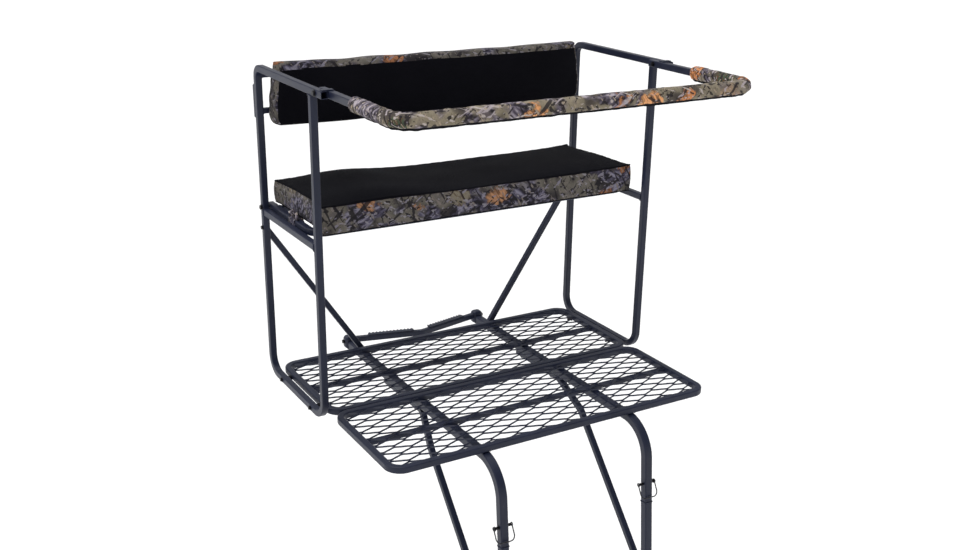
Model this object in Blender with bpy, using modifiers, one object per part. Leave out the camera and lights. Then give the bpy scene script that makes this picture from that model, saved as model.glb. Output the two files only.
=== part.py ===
# Two-person ladder tree stand.
# Blender 4.5 script, metres, +Z up. +Y points at the tree, -Y is the side the
# hunter looks to, +X is the hunter's left-hand side frame seen from behind.
# The origin is the throat of the V-shaped tree bracket, at its mid height.

import math
import bmesh
import bpy
from mathutils import Matrix, Vector

# ---------------------------------------------------------------- dimensions
GAP = 0.0003            # clearance kept between touching pieces

# side frames (bent square tube)
T = 0.020               # side-frame tube, outside size
X_FRAME = 0.557         # half distance between the side-frame centre planes
Y_REAR = -0.0624        # rear post centre
Y_FRONT = -0.4727       # front post centre
Y_ARM_END = -0.553      # open front end of the armrest tube
Z_BOTTOM = 0.005        # bottom tube centre
Z_ARM = 0.9488          # armrest tube centre
R_TOP = 0.030           # top rear bend, centre line
R_BOTTOM = 0.055        # bottom bends, centre line
CORNER = 0.0026         # corner of the square section

# seat
Z_SEAT_RAIL = 0.520     # fixed cross tube of each side frame
X_SEAT = 0.5335         # seat-frame side bar centre
Z_SEAT = 0.533          # seat-frame centre height
Y_SEAT_FRONT = -0.385
SEAT_BAR_Y = -0.104
CUSHION = (1.050, 0.365, 0.064)
CUSHION_Y = (-0.4330, -0.0680)
Z_CUSHION = 0.5458

# backrest
TBACK = 0.016           # cross bars behind the pad
Z_BACK_BARS = (0.822, 0.926)
BRACKET_Z = (0.798, 0.898)
PAD_X = 0.527
PAD_Y = (-0.1250, -0.0707)
PAD_Z = (0.786, 0.962)

# shooting rail
X_RAIL = 0.5355
Y_RAIL_PIVOT = -0.510
Y_RAIL_BACK = -0.488
Y_RAIL_FRONT = -0.930
R_RAIL = 0.055
SLEEVE_D = 0.040
Y_SLEEVE = -0.690       # where the padded sleeve starts on each arm

# platform
HALF_W = 0.5365
Z_TOP = 0.0195
REAR_Y = (-0.4700, -0.0669)
FRONT_Y = (-0.8662, -0.4730)
R_PANEL = 0.040
BAR_H = 0.012
MESH_Z = (0.0125, 0.0155)
MESH_PITCH = (0.172, 0.0905)
STRAND = 0.0060

# ladder
TL = 0.0254             # ladder tube
X_LADDER = 0.2472
Z_RAIL = -0.0135        # support rails and ladder top, centre height
R_LADDER = 0.105
LEAN = math.radians(5.7)
JOINT = (-0.960, -0.243)        # Y, Z of the first ladder joint
SECTION = 1.18                  # length of one straight ladder section
SLEEVE = 0.0190                 # inner sleeve, outside size
SLEEVE_L = 0.075
PIN_UP = 0.056                  # lock pin above its joint
RUNG_PITCH = 0.38
FIRST_RUNG = 0.20
LOW_LENGTH = 1.20
RUNG_D = 0.0222

# braces and struts
TB = 0.018

# tree bracket
V_APEX_Y = -0.009       # centre line of the arms at the middle
V_END_Y = 0.0440
BLOCK_W = 0.0185        # half width of the end blocks on the support rails

STEEL = (0.030, 0.032, 0.038)


# ---------------------------------------------------------------- scene
for ob in list(bpy.data.objects):
    bpy.data.objects.remove(ob, do_unlink=True)

PARTS = bpy.data.collections.new("ladder_tree_stand")
CUTS = bpy.data.collections.new("cutters")
bpy.context.scene.collection.children.link(PARTS)
bpy.context.scene.collection.children.link(CUTS)


def material(name, colour, rough, metal):
    m = bpy.data.materials.new(name)
    m.use_nodes = True
    b = m.node_tree.nodes["Principled BSDF"]
    b.inputs["Base Color"].default_value = (*colour, 1.0)
    b.inputs["Roughness"].default_value = rough
    b.inputs["Metallic"].default_value = metal
    m.diffuse_color = (*colour, 1.0)
    return m


def new_object(name, mesh, colour=STEEL, rough=0.45, metal=0.6, cutter=False):
    ob = bpy.data.objects.new(name, mesh)
    if cutter:
        CUTS.objects.link(ob)
        ob.hide_render = True
        ob.display_type = 'WIRE'
    else:
        PARTS.objects.link(ob)
        mesh.materials.clear()
        mesh.materials.append(material(name + "_mat", colour, rough, metal))
    return ob


def smooth(ob, angle=35.0):
    ob.data.shade_smooth()
    ob.data.set_sharp_from_angle(angle=math.radians(angle))


def empty(name, at, rot=(0, 0, 0)):
    e = bpy.data.objects.new(name, None)
    e.location = at
    e.rotation_euler = rot
    PARTS.objects.link(e)
    return e


def set_origin(ob, at):
    """Moves the object's own origin to a point without moving its shape."""
    at = Vector(at)
    shift = at - ob.location
    ob.data.transform(Matrix.Translation(-shift))
    ob.location = at


def adopt(ob, parent, local=False):
    """Parents a piece to an empty. local=True: its coordinates are already
    the empty's own; otherwise its place in the world is kept."""
    ob.parent = parent
    if not local:
        m = Matrix.LocRotScale(parent.location, parent.rotation_euler, None)
        ob.matrix_parent_inverse = m.inverted()


# ---------------------------------------------------------------- shapes
def fillet(points, radius, seg=6, cyclic=False):
    """Polyline with every corner rounded to the given radius."""
    pts = [Vector(p) for p in points]
    n = len(pts)
    out = []
    for i, p in enumerate(pts):
        if not cyclic and i in (0, n - 1):
            out.append(p)
            continue
        a = (pts[i - 1] - p).normalized()
        b = (pts[(i + 1) % n] - p).normalized()
        r = radius[i] if isinstance(radius, (list, tuple)) else radius
        ang = a.angle(b)
        if r <= 0 or ang > math.pi - 1e-4:
            out.append(p)
            continue
        t = r / math.tan(ang / 2)
        centre = p + (a + b).normalized() * (r / math.sin(ang / 2))
        s, e = p + a * t, p + b * t
        u = (s - centre).normalized()
        w = (e - centre).normalized()
        tot = u.angle(w)
        axis = u.cross(w).normalized()
        for k in range(seg + 1):
            q = Matrix.Rotation(tot * k / seg, 3, axis) @ u
            out.append(centre + q * r)
    return out


def mesh_from_curve(curve_ob):
    """Evaluated curve as a mesh with its caps welded on."""
    dg = bpy.context.evaluated_depsgraph_get()
    me = bpy.data.meshes.new_from_object(curve_ob.evaluated_get(dg))
    bm = bmesh.new()
    bm.from_mesh(me)
    bmesh.ops.remove_doubles(bm, verts=bm.verts, dist=0.00002)
    bmesh.ops.recalc_face_normals(bm, faces=bm.faces)
    bm.to_mesh(me)
    bm.free()
    return me


def section_curve(size, corner):
    """Square section with rounded corners, as a flat closed curve."""
    w, h = (size, size) if not isinstance(size, (tuple, list)) else size
    c = bpy.data.curves.new("section", 'CURVE')
    c.dimensions = '2D'
    c.fill_mode = 'NONE'
    s = c.splines.new('POLY')
    k = 0.42
    pts = []
    for sx, sy in ((1, 1), (-1, 1), (-1, -1), (1, -1)):
        x, y = sx * w / 2, sy * h / 2
        a = (x, y - sy * corner)
        m = (x - sx * corner * (1 - k * 1.66), y - sy * corner * (1 - k * 1.66))
        b = (x - sx * corner, y)
        trio = [a, m, b]
        pts += trio if sx * sy > 0 else trio[::-1]
    s.points.add(len(pts) - 1)
    for i, (x, y) in enumerate(pts):
        s.points[i].co = (x, y, 0, 1)
    s.use_cyclic_u = True
    ob = bpy.data.objects.new("section", c)
    CUTS.objects.link(ob)
    return ob


def sweep(name, points, size, corner=CORNER, cyclic=False, twist='MINIMUM',
          round_section=False, res=3, cutter=False, tilt=0.0, **kw):
    """Tube piece: a section carried along a polyline, ends filled."""
    c = bpy.data.curves.new(name + "_path", 'CURVE')
    c.dimensions = '3D'
    c.twist_mode = twist
    s = c.splines.new('POLY')
    s.points.add(len(points) - 1)
    for i, p in enumerate(points):
        s.points[i].co = (*p, 1)
        s.points[i].tilt = tilt
    s.use_cyclic_u = cyclic
    prof = None
    if round_section:
        c.bevel_depth = size / 2
        c.bevel_resolution = res
    else:
        prof = section_curve(size, corner)
        c.bevel_mode = 'OBJECT'
        c.bevel_object = prof
    c.use_fill_caps = not cyclic
    cu = bpy.data.objects.new(name + "_path", c)
    CUTS.objects.link(cu)
    bpy.context.view_layer.update()
    me = mesh_from_curve(cu)
    me.name = name
    bpy.data.objects.remove(cu, do_unlink=True)
    if prof:
        bpy.data.objects.remove(prof, do_unlink=True)
    ob = new_object(name, me, cutter=cutter, **kw)
    if not cutter:
        smooth(ob)
    return ob


def box(name, x, y, z, bevel=0.0, seg=1, cutter=False, **kw):
    """Box between the given limits, edges bevelled."""
    bm = bmesh.new()
    bmesh.ops.create_cube(bm, size=1.0, matrix=Matrix.Diagonal(
        (abs(x[1] - x[0]), abs(y[1] - y[0]), abs(z[1] - z[0]), 1.0)))
    me = bpy.data.meshes.new(name)
    bm.to_mesh(me)
    bm.free()
    ob = new_object(name, me, cutter=cutter, **kw)
    ob.location = ((x[0] + x[1]) / 2, (y[0] + y[1]) / 2, (z[0] + z[1]) / 2)
    if bevel > 0:
        m = ob.modifiers.new("Bevel", 'BEVEL')
        m.width = bevel
        m.segments = seg
        m.limit_method = 'ANGLE'
    return ob


def turned_x(name, profile, at, seg=12, cutter=False, **kw):
    """Turned piece on an X axis. profile: (x, radius) pairs along the axis."""
    prof = sorted(profile, key=lambda p: p[0])
    pts = [(prof[0][0], 0.0)] + prof + [(prof[-1][0], 0.0)]
    bm = bmesh.new()
    vs = [bm.verts.new((r, 0, -x)) for x, r in pts]
    for a, b in zip(vs, vs[1:]):
        bm.edges.new((a, b))
    me = bpy.data.meshes.new(name)
    bm.to_mesh(me)
    bm.free()
    ob = new_object(name, me, cutter=cutter, **kw)
    ob.location = at
    ob.rotation_euler = (0, -math.pi / 2, 0)
    m = ob.modifiers.new("Screw", 'SCREW')
    m.steps = seg
    m.render_steps = seg
    m.axis = 'Z'
    m.use_merge_vertices = True
    m.merge_threshold = 0.00005
    m.use_smooth_shade = False
    return ob


def flat_plate(name, outline, thickness, at, rot=(0, 0, 0), holes=(), **kw):
    """Flat plate: a filled 2D outline, extruded both ways."""
    c = bpy.data.curves.new(name + "_outline", 'CURVE')
    c.dimensions = '2D'
    c.fill_mode = 'BOTH'
    c.extrude = thickness / 2
    for ring in [outline, *holes]:
        s = c.splines.new('POLY')
        s.points.add(len(ring) - 1)
        for i, (x, y) in enumerate(ring):
            s.points[i].co = (x, y, 0, 1)
        s.use_cyclic_u = True
    cu = bpy.data.objects.new(name + "_outline", c)
    CUTS.objects.link(cu)
    bpy.context.view_layer.update()
    me = mesh_from_curve(cu)
    me.name = name
    bpy.data.objects.remove(cu, do_unlink=True)
    ob = new_object(name, me, **kw)
    ob.location = at
    ob.rotation_euler = rot
    return ob


def boolean(ob, cutter, op='DIFFERENCE'):
    m = ob.modifiers.new(op.title(), 'BOOLEAN')
    m.operation = op
    m.object = cutter
    m.solver = 'EXACT'
    return m


def hole_x(name, x, y, z, d, seg=12):
    """Cylindrical cutter along X."""
    return turned_x(name, [(min(x), d / 2), (max(x), d / 2)], (0, y, z),
                    seg=seg, cutter=True)


SIDES = (("left", -1), ("right", 1))
HOLE = 0.0086
SHANK = 0.0080

# ---------------------------------------------------------------- side frames
BOLT_Y = (-0.158, -0.384)
for side, s in SIDES:
    x = s * X_FRAME
    path = [(x, Y_ARM_END, Z_ARM), (x, Y_REAR, Z_ARM), (x, Y_REAR, Z_BOTTOM),
            (x, Y_FRONT, Z_BOTTOM), (x, Y_FRONT, Z_ARM - T / 2 - GAP)]
    ob = sweep("side_frame_" + side,
               fillet(path, [0, R_TOP, R_BOTTOM, R_BOTTOM, 0], seg=6), T)
    w = T / 2 - 0.0022
    boolean(ob, box("cut_arm_" + side, (x - w, x + w),
                    (Y_ARM_END - 0.01, Y_ARM_END + 0.028),
                    (Z_ARM - w, Z_ARM + w), cutter=True))
    xr = (x - 0.02, x + 0.02)
    for i, y in enumerate(BOLT_Y):
        boolean(ob, hole_x(f"cut_bolt_{side}_{i}", xr, y, Z_BOTTOM, HOLE))
    boolean(ob, hole_x("cut_pivot_" + side, xr, Y_RAIL_PIVOT, Z_ARM, HOLE))
    boolean(ob, hole_x("cut_seat_" + side, xr, Y_REAR, Z_SEAT, HOLE))

    # fixed cross tube under the seat, with the tab that the seat rests on
    ob = box("seat_rail_" + side, (x - T / 2, x + T / 2),
             (Y_FRONT + T / 2 + GAP, Y_REAR - T / 2 - GAP),
             (Z_SEAT_RAIL - T / 2, Z_SEAT_RAIL + T / 2), bevel=0.0022)
    tab = box("tab_seat_" + side,
              sorted((s * 0.5265, s * (X_FRAME - T / 2 + 0.003))),
              (-0.342, -0.314),
              (Z_SEAT - T / 2 - GAP - 0.004, Z_SEAT - T / 2 - GAP),
              cutter=True)
    boolean(ob, tab, 'UNION')

# ---------------------------------------------------------------- platform


def rounded_rect(x, y, r, seg=6):
    p = [(x[0], y[0]), (x[1], y[0]), (x[1], y[1]), (x[0], y[1])]
    return [(v.x, v.y) for v in
            fillet([(a, b, 0) for a, b in p], r, seg=seg, cyclic=True)]


def clip(poly, corner, inward):
    """Keeps the part of a convex polygon on the inward side of a line."""
    out = []
    for i, p in enumerate(poly):
        q = poly[(i + 1) % len(poly)]
        dp = (p[0] - corner[0]) * inward[0] + (p[1] - corner[1]) * inward[1]
        dq = (q[0] - corner[0]) * inward[0] + (q[1] - corner[1]) * inward[1]
        if dp >= 0:
            out.append(p)
        if (dp >= 0) != (dq >= 0):
            t = dp / (dp - dq)
            out.append((p[0] + (q[0] - p[0]) * t, p[1] + (q[1] - p[1]) * t))
    return out


def area(poly):
    return 0.5 * sum(poly[i - 1][0] * p[1] - p[0] * poly[i - 1][1]
                     for i, p in enumerate(poly))


def diamonds(x, y, pitch, strand, corner_cut):
    """Diamond openings of expanded metal, cut to the panel inside its rim."""
    lw, sw = pitch
    side = math.hypot(lw / 2, sw / 2)
    k = 1 - strand * side / (lw * sw / 2)      # opening against full diamond
    cx, cy = (x[0] + x[1]) / 2, (y[0] + y[1]) / 2
    nx = int((x[1] - x[0]) / lw) + 3
    ny = int((y[1] - y[0]) / sw) + 3
    out = []
    c = corner_cut
    for j in range(-2 * ny, 2 * ny + 1):
        for i in range(-nx, nx + 1):
            ox = cx + (i + 0.5 * (j % 2)) * lw
            oy = cy + j * sw / 2
            d = [(ox - lw / 2 * k, oy), (ox, oy - sw / 2 * k),
                 (ox + lw / 2 * k, oy), (ox, oy + sw / 2 * k)]
            for corner, inward in (
                    ((x[0], 0), (1, 0)), ((x[1], 0), (-1, 0)),
                    ((0, y[0]), (0, 1)), ((0, y[1]), (0, -1)),
                    ((x[0] + c, y[0]), (1, 1)), ((x[1] - c, y[0]), (-1, 1)),
                    ((x[0] + c, y[1]), (1, -1)), ((x[1] - c, y[1]), (-1, -1))):
                if d:
                    d = clip(d, corner, inward)
            d = [p for n, p in enumerate(d)
                 if math.dist(p, d[n - 1]) > 0.0008]
            if len(d) >= 3 and area(d) > 0.00012:
                out.append(d)
    return out


for panel, yy in (("rear", REAR_Y), ("front", FRONT_Y)):
    yc = (yy[0] + T / 2, yy[1] - T / 2)
    zc = Z_TOP - T / 2
    pts = [(a, b, zc) for a, b in
           rounded_rect((-HALF_W + T / 2, HALF_W - T / 2), yc, R_PANEL)]
    ring = sweep(f"platform_{panel}_frame", pts, T, cyclic=True, twist='Z_UP')
    if panel == "rear":
        for side, s in SIDES:
            for i, y in enumerate(BOLT_Y):
                boolean(ring, hole_x(f"cut_ring_{side}_{i}",
                                     sorted((s * 0.505, s * 0.545)),
                                     y, Z_BOTTOM, HOLE))
    xi = HALF_W - T - GAP
    mid = (yy[0] + yy[1]) / 2
    box(f"platform_{panel}_bar", (-xi, xi), (mid - T / 2, mid + T / 2),
        (MESH_Z[0] - GAP - BAR_H, MESH_Z[0] - GAP), bevel=0.0020)
    yi = (yy[0] + T + GAP, yy[1] - T - GAP)
    rim = 0.006
    outline = rounded_rect((-xi, xi), yi, R_PANEL - T / 2 + 0.001, seg=5)
    holes = diamonds((-xi + rim, xi - rim), (yi[0] + rim, yi[1] - rim),
                     MESH_PITCH, STRAND, 0.018)
    flat_plate(f"platform_{panel}_mesh", outline, MESH_Z[1] - MESH_Z[0],
               (0, 0, (MESH_Z[0] + MESH_Z[1]) / 2), holes=holes)

# bolts that tie the rear panel to the side frames, with their spacer collars
for side, s in SIDES:
    for tag, y in zip(("rear", "front"), BOLT_Y):
        inner = HALF_W - T
        prof = [(s * (X_FRAME + T / 2 + GAP + 0.0055), 0.0068),
                (s * (X_FRAME + T / 2 + GAP), 0.0068),
                (s * (X_FRAME + T / 2 + GAP), SHANK / 2),
                (s * (X_FRAME - T / 2 - GAP), SHANK / 2),
                (s * (X_FRAME - T / 2 - GAP), 0.0075),
                (s * (HALF_W + GAP), 0.0075),
                (s * (HALF_W + GAP), SHANK / 2),
                (s * (inner - GAP), SHANK / 2),
                (s * (inner - GAP), 0.0068),
                (s * (inner - GAP - 0.0065), 0.0068)]
        if s > 0:
            prof = prof[::-1]
        bm = bmesh.new()
        pts = [(prof[0][0], 0.0)] + prof + [(prof[-1][0], 0.0)]
        vs = [bm.verts.new((r, 0, -x)) for x, r in pts]
        for a, b in zip(vs, vs[1:]):
            bm.edges.new((a, b))
        me = bpy.data.meshes.new("bolt")
        bm.to_mesh(me)
        bm.free()
        ob = new_object(f"platform_bolt_{side}_{tag}", me,
                        colour=(0.20, 0.20, 0.21), rough=0.35, metal=0.9)
        ob.location = (0, y, Z_BOTTOM)
        ob.rotation_euler = (0, -math.pi / 2, 0)
        m = ob.modifiers.new("Screw", 'SCREW')
        m.steps = m.render_steps = 12
        m.axis = 'Z'
        m.use_merge_vertices = True
        m.merge_threshold = 0.00005
        m.use_smooth_shade = False

# ---------------------------------------------------------------- supports
lad = empty("ladder_axis", (0, JOINT[0], JOINT[1]), (-LEAN, 0, 0))
YC = JOINT[0] + (Z_RAIL - JOINT[1]) * math.tan(LEAN)    # corner of the bend

for side, s in SIDES:
    x = s * X_LADDER
    h = TL / 2
    # support rail under the rear panel, with the end block for the bracket
    ob = box("support_rail_" + side, (x - h, x + h), (-0.4722, 0.040),
             (Z_RAIL - h, Z_RAIL + h), bevel=0.003)
    blk = box("block_" + side, (x - BLOCK_W, x + BLOCK_W), (0.0340, 0.0680),
              (-0.0300, 0.0160), bevel=0.004, seg=2, cutter=True)
    boolean(ob, blk, 'UNION')

    # curved top of the ladder
    down = Vector((0, -math.sin(LEAN), -math.cos(LEAN)))
    end = Vector((x, JOINT[0], JOINT[1])) - down * GAP
    pts = fillet([(x, -0.4725, Z_RAIL), (x, YC, Z_RAIL), end], R_LADDER, seg=9)
    ob = sweep("ladder_top_" + side, pts, TL, corner=0.003)
    w = SLEEVE / 2 + GAP
    sock = box("cut_sock_" + side, (x - w, x + w), (-w, w), (-0.02, 0.080),
               cutter=True)
    adopt(sock, lad, local=True)
    boolean(ob, sock)
    hole = hole_x("cut_pin_" + side, (x - 0.02, x + 0.02), 0, PIN_UP, 0.0086)
    adopt(hole, lad, local=True)
    boolean(ob, hole)

    # straight ladder sections, each with a sleeve on top
    for name, top, length, last in (("ladder_mid_rail_", 0.0, SECTION, False),
                                    ("ladder_low_rail_", -SECTION, LOW_LENGTH,
                                     True)):
        ob = box(name + side, (x - h, x + h), (-h, h),
                 (top - length + (0 if last else GAP), top - GAP), bevel=0.003)
        adopt(ob, lad, local=True)
        q = SLEEVE / 2
        slv = box(f"sleeve_{name}{side}", (x - q, x + q), (-q, q),
                  (top - 0.03, top + SLEEVE_L), bevel=0.0015, cutter=True)
        adopt(slv, lad, local=True)
        boolean(ob, slv, 'UNION')
        ph = hole_x(f"cut_sl_{name}{side}", (x - 0.02, x + 0.02), 0,
                    top + PIN_UP, 0.0086)
        adopt(ph, lad, local=True)
        boolean(ob, ph)
        if not last:
            sock = box(f"cut_so_{name}{side}", (x - w, x + w), (-w, w),
                       (top - length - 0.02, top - length + 0.080),
                       cutter=True)
            adopt(sock, lad, local=True)
            boolean(ob, sock)
            ph = hole_x(f"cut_sp_{name}{side}", (x - 0.02, x + 0.02), 0,
                        top - length + PIN_UP, 0.0086)
            adopt(ph, lad, local=True)
            boolean(ob, ph)

    # foot: a flat-bottomed cup under the rail end
    zf = JOINT[1] - (SECTION + LOW_LENGTH) * math.cos(LEAN)
    yf = JOINT[0] - (SECTION + LOW_LENGTH) * math.sin(LEAN)
    low = zf - h * math.sin(LEAN)
    ob = box("ladder_foot_" + side, (x - 0.0175, x + 0.0175),
             (yf - 0.032, yf + 0.028), (low - 0.009, low + 0.024),
             bevel=0.003, colour=(0.02, 0.02, 0.02), rough=0.7, metal=0.0)
    c = h + GAP
    cup = box("cut_foot_" + side, (x - c, x + c), (-c, c),
              (-SECTION - LOW_LENGTH - GAP, -SECTION - LOW_LENGTH + 0.08),
              cutter=True)
    adopt(cup, lad, local=True)
    boolean(ob, cup)

    # strut from under the platform out to the side of the ladder
    a = Vector((x, -0.235, Z_RAIL - h - GAP - TB / 2))
    slope = 0.8917
    xo = s * (X_LADDER + h + GAP + TB / 2 + 0.0005)
    b = Vector((x, -0.482, a.z))
    c3 = Vector((xo, -0.4774 + slope * -0.115, -0.115))
    d = Vector((xo, -0.4774 + slope * -0.589, -0.589))
    sweep("strut_" + side, fillet([a, b, c3, d], [0, 0.040, 0.060, 0], seg=5),
          TB, corner=0.0024)

    # brace from the rear post down to the support rail
    yb = Y_REAR + T / 2 + GAP + TB / 2
    sweep("brace_" + side, [(s * 0.5470, yb, 0.455), (x, yb, 0.0068)],
          TB, corner=0.0024, twist='Z_UP')

    # lock pin and its wire bail at each ladder joint
    for lev, z in (("upper", PIN_UP), ("lower", PIN_UP - SECTION)):
        o, i = s * (X_LADDER + 0.0300), s * (X_LADDER - 0.0310)
        k = s * (X_LADDER + 0.0270)
        pr = [(o, 0.0062), (k, 0.0062), (k, SHANK / 2), (i, SHANK / 2)]
        if s > 0:
            pr = pr[::-1]
        bm = bmesh.new()
        pp = [(pr[0][0], 0.0)] + pr + [(pr[-1][0], 0.0)]
        vs = [bm.verts.new((r, 0, -xx)) for xx, r in pp]
        for v0, v1 in zip(vs, vs[1:]):
            bm.edges.new((v0, v1))
        me = bpy.data.meshes.new("pin")
        bm.to_mesh(me)
        bm.free()
        pin = new_object(f"lock_pin_{lev}_{side}", me,
                         colour=(0.16, 0.16, 0.17), rough=0.35, metal=0.9)
        pin.location = (0, 0, z)
        pin.rotation_euler = (0, -math.pi / 2, 0)
        m = pin.modifiers.new("Screw", 'SCREW')
        m.steps = m.render_steps = 12
        m.axis = 'Z'
        m.use_merge_vertices = True
        m.merge_threshold = 0.00005
        m.use_smooth_shade = False
        adopt(pin, lad, local=True)

        wr = 0.0015
        xo2, xi2 = o + s * (GAP + wr), i - s * (GAP + wr)
        zd, yd = -0.046, -0.0185
        wire = fillet([(xo2, 0, 0), (xo2, yd, zd), (xi2, yd, zd),
                       (xi2, 0, 0)], 0.010, seg=4)
        bail = sweep(f"pin_bail_{lev}_{side}", wire, wr * 2,
                     round_section=True, res=1,
                     colour=(0.45, 0.45, 0.46), rough=0.3, metal=1.0)
        bail.location = (0, 0, z)
        adopt(bail, lad, local=True)

# rungs
for n in range(6):
    z = -FIRST_RUNG - n * RUNG_PITCH
    e = X_LADDER - TL / 2 - GAP
    ob = turned_x(f"ladder_rung_{n + 1}", [(-e, RUNG_D / 2), (e, RUNG_D / 2)],
                  (0, 0, z), seg=16)
    adopt(ob, lad, local=True)

# ---------------------------------------------------------------- bracket
e = X_LADDER - BLOCK_W - GAP - 0.0024
VSLOPE = (V_END_Y - V_APEX_Y) / e
sweep("tree_bracket", [(-e, V_END_Y, 0), (0, V_APEX_Y, 0), (e, V_END_Y, 0)],
      TB, corner=0.002, twist='Z_UP')
for side, s in SIDES:
    ang = math.atan(VSLOPE)
    n, tooth, start, depth = 16, 0.0098, 0.030, 0.016
    ring = [(start, -depth / 2), (start + n * tooth, -depth / 2)]
    for i in range(n, 0, -1):
        ring.append((start + i * tooth, depth / 2))
        ring.append((start + (i - 0.55) * tooth, depth / 2 + 0.006))
    ring.append((start, depth / 2))
    if s < 0:
        ring = [(-px, py) for px, py in ring][::-1]
    flat_plate("tree_blade_" + side, ring, 0.003,
               (0, V_APEX_Y + 0.002, TB / 2 + GAP + 0.0015),
               rot=(0, 0, s * ang))

# ---------------------------------------------------------------- seat
seat_axis = empty("seat_axis", (0, Y_REAR, Z_SEAT))
u = [(-X_SEAT, Y_REAR + 0.015, Z_SEAT), (-X_SEAT, Y_SEAT_FRONT, Z_SEAT),
     (X_SEAT, Y_SEAT_FRONT, Z_SEAT), (X_SEAT, Y_REAR + 0.015, Z_SEAT)]
seat = sweep("seat_frame", fillet(u, 0.040, seg=6), T, twist='Z_UP')
bar = box("tube_seat_bar", (-X_SEAT, X_SEAT),
          (SEAT_BAR_Y - T / 2, SEAT_BAR_Y + T / 2),
          (Z_SEAT - T / 2 + 0.0012, Z_SEAT + T / 2 - 0.0012), cutter=True)
boolean(seat, bar, 'UNION')
for side, s in SIDES:
    boolean(seat, hole_x("cut_seatbar_" + side,
                         sorted((s * 0.515, s * 0.555)), Y_REAR, Z_SEAT,
                         HOLE))
set_origin(seat, (0, Y_REAR, Z_SEAT))
adopt(seat, seat_axis)

FABRIC = dict(colour=(0.012, 0.012, 0.014), rough=0.95, metal=0.0)
cush = box("seat_cushion", (-CUSHION[0] / 2, CUSHION[0] / 2), CUSHION_Y,
           (Z_CUSHION, Z_CUSHION + CUSHION[2]), bevel=0.008, seg=2, **FABRIC)
# front lip of the cover, hanging in front of the seat frame
boolean(cush, box("lip_cushion", (-0.5225, 0.5225), (CUSHION_Y[0], -0.3975),
                  (Z_CUSHION - 0.0093, Z_CUSHION + 0.0040), cutter=True),
        'UNION')
adopt(cush, seat_axis)

for side, s in SIDES:
    x = s * X_SEAT
    a, t = T / 2 + GAP, 0.0016
    st = box("seat_strap_" + side, (x - a - t, x + a + t), (-0.262, -0.232),
             (Z_SEAT - a - t, Z_SEAT + a + t), colour=(0.12, 0.11, 0.08),
             rough=0.9, metal=0.0)
    boolean(st, box("cut_strap_" + side, (x - a, x + a), (-0.28, -0.21),
                    (Z_SEAT - a, Z_SEAT + a), cutter=True))
    adopt(st, seat_axis)


def through_bolt(name, s, y, z, xb):
    """Bolt through a fixed tube and the moving bar inside it at +-xb, with a
    washer collar between them."""
    out = X_FRAME + T / 2 + GAP
    inn = xb - T / 2 - GAP
    pr = [(s * (out + 0.0055), 0.0068), (s * out, 0.0068),
          (s * out, SHANK / 2), (s * (X_FRAME - T / 2 - 0.0001), SHANK / 2),
          (s * (X_FRAME - T / 2 - 0.0003), 0.0072),
          (s * (xb + T / 2 + 0.0003), 0.0072),
          (s * (xb + T / 2 + 0.0002), SHANK / 2), (s * inn, SHANK / 2),
          (s * inn, 0.0068), (s * (inn - 0.0065), 0.0068)]
    if s > 0:
        pr = pr[::-1]
    bm = bmesh.new()
    pp = [(pr[0][0], 0.0)] + pr + [(pr[-1][0], 0.0)]
    vs = [bm.verts.new((r, 0, -xx)) for xx, r in pp]
    for v0, v1 in zip(vs, vs[1:]):
        bm.edges.new((v0, v1))
    me = bpy.data.meshes.new(name)
    bm.to_mesh(me)
    bm.free()
    ob = new_object(name, me, colour=(0.20, 0.20, 0.21), rough=0.35,
                    metal=0.9)
    ob.location = (0, y, z)
    ob.rotation_euler = (0, -math.pi / 2, 0)
    m = ob.modifiers.new("Screw", 'SCREW')
    m.steps = m.render_steps = 12
    m.axis = 'Z'
    m.use_merge_vertices = True
    m.merge_threshold = 0.00005
    m.use_smooth_shade = False
    return ob


for side, s in SIDES:
    through_bolt("seat_pivot_" + side, s, Y_REAR, Z_SEAT, X_SEAT)
    through_bolt("rail_pivot_" + side, s, Y_RAIL_PIVOT, Z_ARM, X_RAIL)

# ---------------------------------------------------------------- backrest
xi = X_FRAME - T / 2 - GAP
for tag, z in zip(("lower", "upper"), Z_BACK_BARS):
    box("backrest_bar_" + tag, (-xi, xi),
        (Y_REAR - TBACK / 2, Y_REAR + TBACK / 2),
        (z - TBACK / 2, z + TBACK / 2), bevel=0.002)
for side, s in SIDES:
    x = s * X_FRAME
    y0 = Y_REAR + T / 2 + GAP
    box("backrest_bracket_" + side, (x - 0.0085, x + 0.0085),
        (y0, y0 + 0.018), BRACKET_Z, bevel=0.006, seg=2)
box("backrest_pad", (-PAD_X, PAD_X), PAD_Y, PAD_Z, bevel=0.012, seg=2,
    **FABRIC)

# ---------------------------------------------------------------- rail
rail_axis = empty("rail_axis", (0, Y_RAIL_PIVOT, Z_ARM))
u = [(-X_RAIL, Y_RAIL_BACK, Z_ARM), (-X_RAIL, Y_RAIL_FRONT, Z_ARM),
     (X_RAIL, Y_RAIL_FRONT, Z_ARM), (X_RAIL, Y_RAIL_BACK, Z_ARM)]
upath = fillet(u, R_RAIL, seg=7)
rail = sweep("shooting_rail", upath, T, twist='Z_UP')
for side, s in SIDES:
    boolean(rail, box("tab_rail_" + side, sorted((s * 0.5290, s * 0.5620)),
                      (-0.5500, -0.5330),
                      (Z_ARM + T / 2 - 0.0010, Z_ARM + T / 2 + GAP + 0.0030),
                      cutter=True), 'UNION')
    relief = box("cut_relief_" + side, sorted((s * 0.5456, s * 0.5700)),
                 (-0.5600, -0.5200), (Z_ARM, Z_ARM + T / 2 + GAP),
                 cutter=True)
    boolean(rail, relief)
    boolean(rail, hole_x("cut_railbar_" + side,
                         sorted((s * 0.515, s * 0.555)), Y_RAIL_PIVOT, Z_ARM,
                         HOLE))
set_origin(rail, (0, Y_RAIL_PIVOT, Z_ARM))
adopt(rail, rail_axis)

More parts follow.
